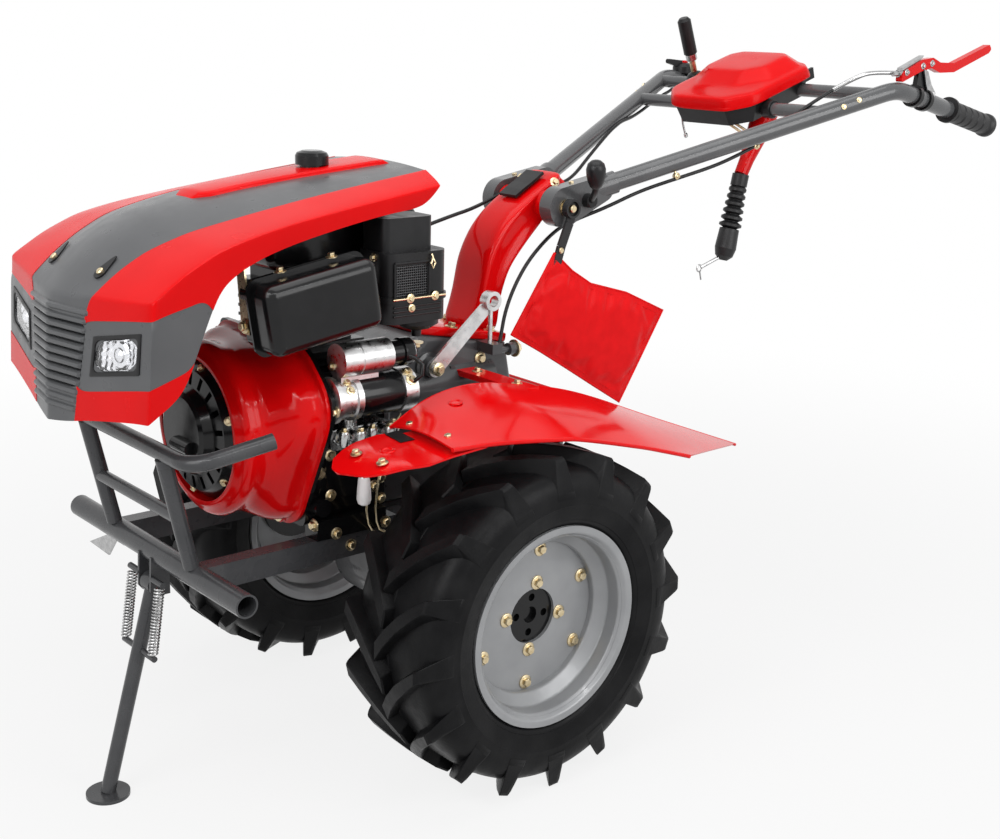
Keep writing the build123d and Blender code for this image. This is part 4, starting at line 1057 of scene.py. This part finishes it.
def on_console(x, y, z):
    """Point on the console, which slopes like the arms."""
    lean, rise = cos(CONSOLE_SLOPE), sin(CONSOLE_SLOPE)
    return at(CONSOLE_PLACE[0] + x * lean + z * rise, y, CONSOLE_PLACE[1] - x * rise + z * lean)


shape = bmesh.new()
crease = shape.edges.layers.float.new("crease_edge")
rings = []
for shift, z, length, width, front_cut, rear_cut in LID_RINGS:
    half = [
        (length, width - front_cut), (length - front_cut, width), (rear_cut - length, width),
        (-length, width - rear_cut),
    ]
    corners = half + [(x, -y) for x, y in reversed(half)]
    rings.append([shape.verts.new(on_console(x + shift, y, z)) for x, y in corners])
skin(shape, rings)
for near, far in zip(rings, rings[1:]):
    for a, b in zip(near, far):
        shape.edges.get((a, b))[crease] = 0.45
for edge in rings[0][0].link_edges:
    edge[crease] = 0.9
lid = piece_of("lid", shape, red_plastic, "handlebar", sharp=80)
round_off(lid, 3)
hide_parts("console_lid")
shape = bmesh.new()
stalk = points((-756, -66, 1072), (-757, -66, 1050), (-762, -64, 1026), (-767, -62, 1010))
add_tube(shape, stalk, 2.4, 10)
tip = [(0, 2.4), (2, 4.2), (8, 4.2), (10, 2.4)]
turn(shape, tip, at(-767, -62, 1012), Vector((-0.3, 0.1, -1)), 16)
piece_of("console_stalk", shape, bright_plate, "handlebar")
shape = bmesh.new()
for shift in (0, 11):
    add_tube(shape, [at(x - shift, y + shift, z) for x, y, z in LINE_BEND], 2.8, 10)
piece_of("console_lines", shape, yellow_zinc, "handlebar")

# Gear lever
# Zinc rod with a bright collar under a black moulded grip, in a rubber boot at the right of the console.

LEVER_ROOT = (-880, -140, 1104)
LEVER_WAY = Vector((54, 0, 136)).normalized()

dress(black_plastic, "gear_lever")
shape = bmesh.new()
turn(shape, [(30.2, 6.6), (56, 6.6)], at(*LEVER_ROOT), LEVER_WAY, 20)
piece_of("lever_rod", shape, yellow_zinc, "handlebar")
shape = bmesh.new()
collar = [(54, 9), (56, 11.6), (68, 11.6), (70.2, 9)]
turn(shape, collar, at(*LEVER_ROOT), LEVER_WAY, 28)
piece_of("lever_collar", shape, bright_plate, "handlebar")

# Clutch lever
# Red coated hand lever in a black bracket round the left tube, with a bright adjuster and link plate.

LEVER_SIDE = 309
TOP_EDGE = ((-966, 1151), (-1030, 1175), (-1034, 1180), (-966, 1156))
ADJUSTER = [(0, 5.2), (16, 5.2), (16, 7.2), (24, 7.2), (24, 4.8), (38, 4.4)]
LINK_PLATE = (
    (-1034, 1154), (-1048, 1150), (-1064, 1124), (-1080, 1108), (-1078, 1096), (-1062, 1098), (-1046, 1124),
)

dress(red_paint, "clutch_lever")
dress(black_paint, "lever_clamp")
shape = bmesh.new()
add_plate(shape, [at(x, 296, z) for x, z in TOP_EDGE], LEFTWARD * 12)
turn(shape, ADJUSTER, at(-986, 302, 1148), Vector((0.97, -0.06, -0.1)), 20)
add_plate(shape, [at(x, LEVER_SIDE, z) for x, z in LINK_PLATE], LEFTWARD * 3)
for x, z in ((-980, 1148), (-1032, 1160), (-1062, 1165)):
    add_bolt(shape, at(x, LEVER_SIDE, z), LEFTWARD, 7)
piece_of("lever_fittings", shape, bright_plate, "handlebar")
shape = bmesh.new()
turn(shape, [(0, 4.2), (4, 4.2), (5, 3)], at(-1068, LEVER_SIDE + 3, 1106), LEFTWARD, 16)
piece_of("link_pin", shape, white_plastic, "handlebar")

# Throttle
# Black thumb lever on the right tube, with a red button on its housing.

dress(black_plastic, "throttle_lever")
shape = bmesh.new()
button = [(0, 9.5), (3, 9.5), (4.5, 7)]
turn(shape, button, at(-1011.7, -302.9, 1144.6), UPWARD, 24)
piece_of("throttle_button", shape, red_plastic, "handlebar")

# Hanging shift link
# Red tapered arm under the console with a bellows boot and its rounded cap; a split pin through its end.

dress(red_paint, "shift_arm")
dress(grip_rubber, "shift_link")
shape = bmesh.new()
add_tube(shape, points((-784, 50, 775), (-735, 32, 750)), 3.6, 12)
eye = []
for i in range(17):
    angle = 2 * pi * i / 16
    eye.append(at(-731 + 7 * cos(angle), 31, 748 + 7 * sin(angle)))
add_tube(shape, eye, 1.6, 8)
add_tube(shape, points((-733, 31, 742), (-737, 32, 724)), 1.6, 8)
piece_of("split_pin", shape, bright_plate, "handlebar")

# Fenders
# Pressed steel, painted red, each on an arm from the gear case, with a rolled outer edge.
# The front lobe is a separate sheet, bolted under the main panel.

FENDER_INNER = ((196, 612), (124, 646), (42, 657), (-49, 645), (-195, 610), (-411, 527), (-634, 442))
FENDER_OUTER = ((215, 623), (125, 618), (3, 603), (-56, 592), (-177, 560), (-240, 541), (-300, 522))
FENDER_SIDES = (238, 418)
FENDER_WALL = 3
FENDER_LENGTHS = 48
FENDER_WIDTHS = 12
FENDER_CROWN = 9
LOBE_LINE = ((345, 578), (280, 604), (215, 612), (150, 616))
LOBE_PLAN = (
    (150, 282), (205, 282), (220, 266), (236, 257), (300, 258), (320, 264), (336, 284), (340, 304),
    (326, 356), (308, 380), (272, 412), (258, 418), (150, 418),
)
# Corners of each slot on the lobe, drawn as a black plate: painted shade for the dark opening.
FENDER_SLOT_SHADE = ((206, 270), (228, 268), (234, 316), (212, 322))
FENDER_ARM = ((-95, 83), (-55, 83), (-55, 258), (-95, 258))
DIMPLE = [(0, 12), (1.2, 11.5), (2, 9.5), (1.2, 7.5), (0.4, 6.5)]


def smooth_line(line, share):
    """Place on a smooth line through its stations at a share of them."""
    last = len(line) - 1
    i = min(int(share * last), last - 1)
    t = share * last - i
    before, here = line[max(i - 1, 0)], line[i]
    ahead, after = line[i + 1], line[min(i + 2, last)]
    return [
        0.5 * (2 * b + (c - a) * t + (2 * a - 5 * b + 4 * c - d) * t * t + (3 * b - a - 3 * c + d) * t ** 3)
        for a, b, c, d in zip(before, here, ahead, after)
    ]


def lobe_height(x):
    """Height of the lobe's sheet at x."""
    for (x0, z0), (x1, z1) in zip(LOBE_LINE, LOBE_LINE[1:]):
        if x >= x1:
            break
    return z0 + (z1 - z0) * (x - x0) / (x1 - x0)


def on_fender(j, i, side):
    """Corner of the main panel by its steps across and along."""
    share, run = j / FENDER_WIDTHS, i / FENDER_LENGTHS
    inner, outer = smooth_line(FENDER_INNER, run), smooth_line(FENDER_OUTER, run)
    crown = FENDER_CROWN * sin(pi * share) * min(1, 3 * (1 - run))
    x, z = [a + (b - a) * share for a, b in zip(inner, outer)]
    y = FENDER_SIDES[0] + (FENDER_SIDES[1] - FENDER_SIDES[0]) * share
    return at(x, side * y, z + crown)


sheet = bmesh.new()
shape = bmesh.new()
slot_shades = bmesh.new()
for side in (1, -1):
    add_grid(sheet, FENDER_WIDTHS, FENDER_LENGTHS, on_fender, side)
    lobe = bmesh.new()
    lobe.faces.new([lobe.verts.new(at(x, side * y, 0)) for x, y in LOBE_PLAN])
    for x in range(165, 340, 12):
        whole = lobe.verts[:] + lobe.edges[:] + lobe.faces[:]
        bmesh.ops.bisect_plane(lobe, geom=whole, plane_co=at(x, 0, 0), plane_no=FORWARD)
    for vertex in lobe.verts:
        vertex.co.z = lobe_height(vertex.co.x * 1000 - AXLE_X) / 1000
    for face in lobe.faces:
        sheet.faces.new([sheet.verts.new(vertex.co) for vertex in face.verts])
    lobe.free()
    for x, y, z in ((188, 278, 620), (190, 375, 624), (296, 356, 600), (299, 294, 599)):
        add_bolt(shape, at(x, side * y, z), Vector((0.2, 0, 0.98)), 10)
    add_bolts(shape, UPWARD, (-75, side * 225, 638.5, 10), (-75, side * 120, 638.5, 10))
    # Painted shade: a black plate 1 mm over the lobe at each slot stands in for the dark opening.
    add_plate(slot_shades, [at(x, side * y, lobe_height(x) + 1) for x, y in FENDER_SLOT_SHADE], UPWARD)
bmesh.ops.remove_doubles(sheet, verts=sheet.verts, dist=0.0001)
sheet.normal_update()
for face in sheet.faces:
    if face.normal.z < 0:
        face.normal_flip()
thicken(sheet, FENDER_WALL)
fender = piece_of("fender_sheets", sheet, red_paint, "chassis", sharp=50)
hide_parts("fenders")
piece_of("fender_bolts", shape, yellow_zinc, "chassis")
piece_of("fender_slot_shades", slot_shades, black_plastic, "chassis")
shape = bmesh.new()
for side in (1, -1):
    for line, y, radius, steps in (
        (FENDER_OUTER, FENDER_SIDES[1] - 1, 3.6, 10), (FENDER_INNER, FENDER_SIDES[0], 3, 8),
    ):
        lip = []
        for i in range(FENDER_LENGTHS + 1):
            x, z = smooth_line(line, i / FENDER_LENGTHS)
            lip.append(at(x, side * y, z - 2.5))
        add_tube(shape, lip, radius, steps)
    add_plate(shape, [at(x, side * y, 628.5) for x, y in FENDER_ARM], UPWARD * 10)
    for x, y, z in ((264, 325, lobe_height(264)), (108, 289, 648)):
        turn(shape, DIMPLE, at(x, side * y, z - 0.5), Vector((0.14, 0, 0.99)), 28)
piece_of("fender_edges", shape, red_paint, "chassis")

# Tool bag
# Flat pouch of red vinyl, sewn along its hems; a black strap hangs it from the pivot bolt.
# The hems hold still while cloth simulation swells the slack sides and folds them.

BAG_TOP = ((-257, 828), (-302, 792), (-350, 764), (-444, 738), (-546, 694))
BAG_FOOT = ((-161, 691), (-232, 652), (-302, 610), (-371, 568), (-438, 527))
BAG_MIDDLE = 108
BAG_COLUMNS = 48
BAG_ROWS = 30
BAG_SWELL = 6.5
BAG_FRAMES = 20
STITCHES = 34
STITCH_INSET = 1.6
STRAP_SIDE = 106
STRAP = ((-292, 918), (-298, 905), (-290, 880), (-272, 838), (-262, 806))

vinyl = finish_of(
    "vinyl", ((0.66, 0.004, 0.006), (0.74, 0.006, 0.008), 0.03), (0.34, 0.46, 0.012), (0.0001, 0.0016),
    shine=0.1,
)
strap_webbing = finish_of(
    "strap_webbing", ((0.008, 0.008, 0.009), (0.016, 0.016, 0.017), 0.004), (0.5, 0.7, 0.004),
    (0.0004, 0.0012),
)


def share_along(line, share):
    """Place on a line of corners at a share of its stations."""
    station = min(int(share * (len(line) - 1)), len(line) - 2)
    part = share * (len(line) - 1) - station
    return [a + (b - a) * part for a, b in zip(line[station], line[station + 1])]


def on_bag(s, t, depth):
    """Point of the pouch from its share along the hem and down, and its depth outwards."""
    x, z = share_along((share_along(BAG_TOP, s), share_along(BAG_FOOT, s)), t)
    return at(x, BAG_MIDDLE + depth, z)


def on_pouch(i, j, face):
    """Corner of the pouch's outer or inner sheet by column and row."""
    s, t = i / BAG_COLUMNS, j / BAG_ROWS
    plump = max(0, sin(pi * s) * sin(pi * t)) ** 0.6
    return on_bag(s, t, face * (1.2 + 3.2 * plump))


shape = bmesh.new()
edges = []
for face in (1, -1):
    grid = add_grid(shape, BAG_COLUMNS, BAG_ROWS, on_pouch, face)
    first = [row[0] for row in grid]
    last = [row[-1] for row in grid]
    edges.append(grid[0][:-1] + last[:-1] + grid[-1][:0:-1] + first[:0:-1])
skin(shape, edges, caps=False)
pouch = piece_of("pouch", shape, vinyl, None, sharp=75)
hem = pouch.vertex_groups.new(name="hem")
for index in range(2 * (BAG_ROWS + 1) * (BAG_COLUMNS + 1)):
    i, j = index % (BAG_COLUMNS + 1), index // (BAG_COLUMNS + 1) % (BAG_ROWS + 1)
    if min(i, BAG_COLUMNS - i, j, BAG_ROWS - j) < 2:
        hem.add([index], 1, "REPLACE")
start = [vertex.co.copy() for vertex in pouch.data.vertices]
cloth = pouch.modifiers.new("cloth", "CLOTH")
cloth.settings.vertex_group_mass = "hem"
cloth.settings.quality = 6
cloth.settings.shrink_min = -0.03
cloth.settings.use_pressure = True
cloth.settings.uniform_pressure_force = 4
cloth.settings.effector_weights.gravity = 0
cloth.point_cache.frame_start = 1
cloth.point_cache.frame_end = BAG_FRAMES
for step in range(1, BAG_FRAMES + 1):
    bpy.context.scene.frame_set(step)
hung = evaluated(pouch)
pouch.modifiers.clear()
for vertex, swollen, first_place in zip(pouch.data.vertices, hung.vertices, start):
    move = swollen.co - first_place
    vertex.co = first_place + move * min(1, BAG_SWELL / 1000 / max(move.length, 0.000001))
bpy.data.meshes.remove(hung)
bpy.context.scene.frame_set(1)
round_off(pouch, 1)
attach(pouch, "chassis")
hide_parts("tool_bag")
shape = bmesh.new()
s, t = STITCH_INSET / BAG_COLUMNS, STITCH_INSET / BAG_ROWS
hem_line = ((s, t), (1 - s, t), (1 - s, 1 - t), (s, 1 - t), (s, t))
for (s, t), (s_next, t_next) in zip(hem_line, hem_line[1:]):
    for k in range(STITCHES):
        stitch = []
        for end in (0.2, 0.8):
            share = (k + end) / STITCHES
            stitch.append(on_bag(s + (s_next - s) * share, t + (t_next - t) * share, 2.6))
        add_tube(shape, stitch, 0.8, 6)
piece_of("hem_stitches", shape, vinyl, "chassis")
shape = bmesh.new()
hem_corners = (
    (0, 0), (0.25, 0), (0.5, 0), (0.75, 0), (1, 0), (1, 0.5), (1, 1), (0.75, 1), (0.5, 1), (0.25, 1), (0, 1),
    (0, 0.5), (0, 0),
)
add_tube(shape, [on_bag(s, t, 0) for s, t in hem_corners], 2.2, 8)
piece_of("hem_piping", shape, vinyl, "chassis")
shape = bmesh.new()
for (x, z), (x_next, z_next) in zip(STRAP, STRAP[1:]):
    run = Vector((x_next - x, 0, z_next - z)).normalized()
    across = Vector((run.z, 0, -run.x)) * 9 / 1000
    near, far = points((x, STRAP_SIDE, z), (x_next, STRAP_SIDE, z_next))
    add_plate(shape, [near - across, near + across, far + across, far - across], LEFTWARD * 5)
loop = [(0, 13), (0, 17), (13, 17), (13, 13)]
turn(shape, loop, at(PIVOT[0], STRAP_SIDE - 2, PIVOT[1]), LEFTWARD, 32, closed=True)
piece_of("bag_strap", shape, strap_webbing, "chassis")
shape = bmesh.new()
turn(shape, [(0, 5.5), (2, 5.5), (3.5, 4)], at(-270, 110.5, 832), LEFTWARD, 20)
piece_of("strap_rivet", shape, yellow_zinc, "chassis")

# Cables
# Bowden cables in black sheaths for the clutch and the throttle, clipped to the tubes and slack at the pivot.
# Each follows the handlebar at one end and the gear case or engine at the other.

CABLE_RADIUS = 3.4
GUIDE_RADIUS = 4.2
CLUTCH_GUIDE = ((-975, 300, 1146), (-916, 280, 1148), (-879, 265, 1138), (-850, 236, 1112))
CLUTCH_ROUTE = (
    (-852, 238, 1114), (-800, 212, 1080), (-750, 196, 1042), (-700, 190, 1012), (-650, 178, 990),
    (-600, 168, 972), (-532, 146, 952), (-464, 112, 928), (-400, 88, 898), (-350, 66, 878), (-304, 60, 862),
    (-241, 66, 820), (-200, 72, 776), (-164, 86, 730), (-140, 104, 690), (-128, 112, 672),
)
THROTTLE_ROUTE = (
    (-1011, -303, 1110), (-960, -285, 1085), (-900, -262, 1075), (-760, -205, 1035), (-677, -170, 1028),
    (-559, -120, 975), (-457, -70, 930), (-400, -58, 925), (-330, -58, 940), (-219, -58, 895),
    (-144, -60, 879), (-40, -62, 852), (40, -64, 815), (140, -66, 770),
)


def run_cable(name, route, radius, material):
    """Smooth round cable on a NURBS line through its route, as a mesh."""
    curve = bpy.data.curves.new(name, "CURVE")
    curve.dimensions = "3D"
    curve.bevel_depth = radius / 1000
    curve.bevel_resolution = 3
    curve.resolution_u = 8
    curve.use_fill_caps = True
    spline = curve.splines.new("NURBS")
    spline.points.add(len(route) - 1)
    for point, place in zip(spline.points, route):
        point.co = (*at(*place), 1)
    spline.order_u = 3
    spline.use_endpoint_u = True
    drawn = show(name + "_line", curve)
    mesh = evaluated(drawn)
    bpy.data.objects.remove(drawn)
    mesh.materials.clear()
    mesh.materials.append(material)
    cable = show(name, mesh)
    return cable


guide = run_cable("clutch_guide", CLUTCH_GUIDE, GUIDE_RADIUS, bright_plate)
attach(guide, "handlebar")
clutch_cable = run_cable("clutch_cable", CLUTCH_ROUTE, CABLE_RADIUS, black_plastic)
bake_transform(clutch_cable)
throttle_cable = run_cable("throttle_cable", THROTTLE_ROUTE, CABLE_RADIUS, black_plastic)
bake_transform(throttle_cable)
shape = bmesh.new()
for x, y, z in ((-525, 141, 955), (-690, 188, 1008)):
    turn(shape, [(-4, 4.8), (4, 4.8)], at(x, y, z), Vector((0.93, -0.32, 0.2)), 20)
    add_bolt(shape, at(x, y + 4, z), LEFTWARD, 7)
    add_tube(shape, points((x, y, z), (x - 2, y - 6, z + 16)), 2.2, 8)
piece_of("cable_clips", shape, yellow_zinc, "handlebar")

# Studio
# Pale floor that fades into a white room, soft light from above and both sides, and the photograph's camera.

ROOM_LIGHT = 0.34
FLOOR_REACH = 40
LOOK_AT = Vector((0.0, 0.0, 0.55))
CAMERA_AIM = Vector((0.0923, 0, 0.5))
CAMERA_DISTANCE = 2.6909
WHITE = (1, 1, 1, 1)


def seen_directly(nodes, link):
    """Socket that is 1 for rays from the camera, off gloss and through glass."""
    rays = nodes.new("ShaderNodeLightPath")
    total = rays.outputs["Is Camera Ray"]
    for kind in ("Is Glossy Ray", "Is Transmission Ray"):
        either = nodes.new("ShaderNodeMath")
        either.operation = "MAXIMUM"
        link(total, either.inputs[0])
        link(rays.outputs[kind], either.inputs[1])
        total = either.outputs[0]
    return total


def mix_shaders(nodes, link, weight, first, second, output):
    """Send a mix of two shaders to the output, weighted by a socket."""
    mix = nodes.new("ShaderNodeMixShader")
    link(weight, mix.inputs["Fac"])
    link(first.outputs[0], mix.inputs[1])
    link(second.outputs[0], mix.inputs[2])
    link(mix.outputs[0], nodes[output].inputs["Surface"])


def add_softbox(name, place, width, height, power):
    """Large soft lamp that looks from its place at the middle of the machine."""
    lamp = bpy.data.lights.new(name, "AREA")
    lamp.shape = "RECTANGLE"
    lamp.size = width
    lamp.size_y = height
    lamp.energy = power
    holder = show(name, lamp)
    holder.location = place
    holder.rotation_euler = (LOOK_AT - Vector(place)).to_track_quat("-Z", "Y").to_euler()


world = bpy.data.worlds.new("studio")
bpy.context.scene.world = world
world.use_nodes = True
nodes = world.node_tree.nodes
link = world.node_tree.links.new
room = nodes["Background"]
fill(room, {"Color": WHITE, "Strength": ROOM_LIGHT})
white = nodes.new("ShaderNodeBackground")
fill(white, {"Color": WHITE, "Strength": 1})
mix_shaders(nodes, link, seen_directly(nodes, link), room, white, "World Output")

shape = bmesh.new()
ground = ((-1, -1), (1, -1), (1, 1), (-1, 1))
shape.faces.new([shape.verts.new((x * FLOOR_REACH, y * FLOOR_REACH, 0)) for x, y in ground])
floor = show("floor", mesh_of("floor", shape))
floor_paint = bpy.data.materials.new("floor_paint")
floor_paint.use_nodes = True
nodes = floor_paint.node_tree.nodes
link = floor_paint.node_tree.links.new
shader = nodes["Principled BSDF"]
fill(shader, {"Base Color": (0.6, 0.6, 0.6, 1), "Roughness": 0.9, "Specular IOR Level": 0})
glow = nodes.new("ShaderNodeEmission")
fill(glow, {"Color": WHITE, "Strength": 1})
places = nodes.new("ShaderNodeTexCoord")
distance = nodes.new("ShaderNodeVectorMath")
distance.operation = "LENGTH"
link(places.outputs["Object"], distance.inputs[0])
fade = nodes.new("ShaderNodeMapRange")
fade.interpolation_type = "SMOOTHSTEP"
fill(fade, {"From Min": 0.5, "From Max": 3.2, "To Min": 0.84, "To Max": 1})
link(distance.outputs["Value"], fade.inputs["Value"])
weight = nodes.new("ShaderNodeMath")
weight.operation = "MULTIPLY"
link(fade.outputs["Result"], weight.inputs[0])
link(seen_directly(nodes, link), weight.inputs[1])
mix_shaders(nodes, link, weight.outputs[0], shader, glow, "Material Output")
floor.data.materials.append(floor_paint)

add_softbox("top_light", (0.2, 0.2, 3.2), 2.6, 2.0, 36)
add_softbox("left_strip", (0.5, 2.3, 2.5), 2.6, 0.12, 16)
add_softbox("front_strip", (2.5, 1.3, 2.3), 1.8, 0.12, 12)
add_softbox("front_light", (3.0, 0.6, 1.9), 1.6, 2.0, 36)
add_softbox("side_light", (-0.6, 3.2, 1.7), 2.2, 1.6, 46)

camera = bpy.data.cameras.new("camera")
camera.lens = 51.41
camera.sensor_width = 36
camera.clip_end = 200
viewer = show("camera", camera)
azimuth, elevation, roll = radians(139.33), radians(15.51), radians(1.535)
back = Vector((sin(azimuth) * cos(elevation), -cos(azimuth) * cos(elevation), sin(elevation)))
right = Vector((cos(azimuth), sin(azimuth), 0))
up = back.cross(right)
right, up = right * cos(roll) + up * sin(roll), up * cos(roll) - right * sin(roll)
turned = Matrix((right, up, back)).transposed().to_4x4()
viewer.matrix_world = Matrix.Translation(CAMERA_AIM + back * CAMERA_DISTANCE) @ turned
bpy.context.scene.camera = viewer
bpy.context.scene.view_settings.view_transform = "Standard"
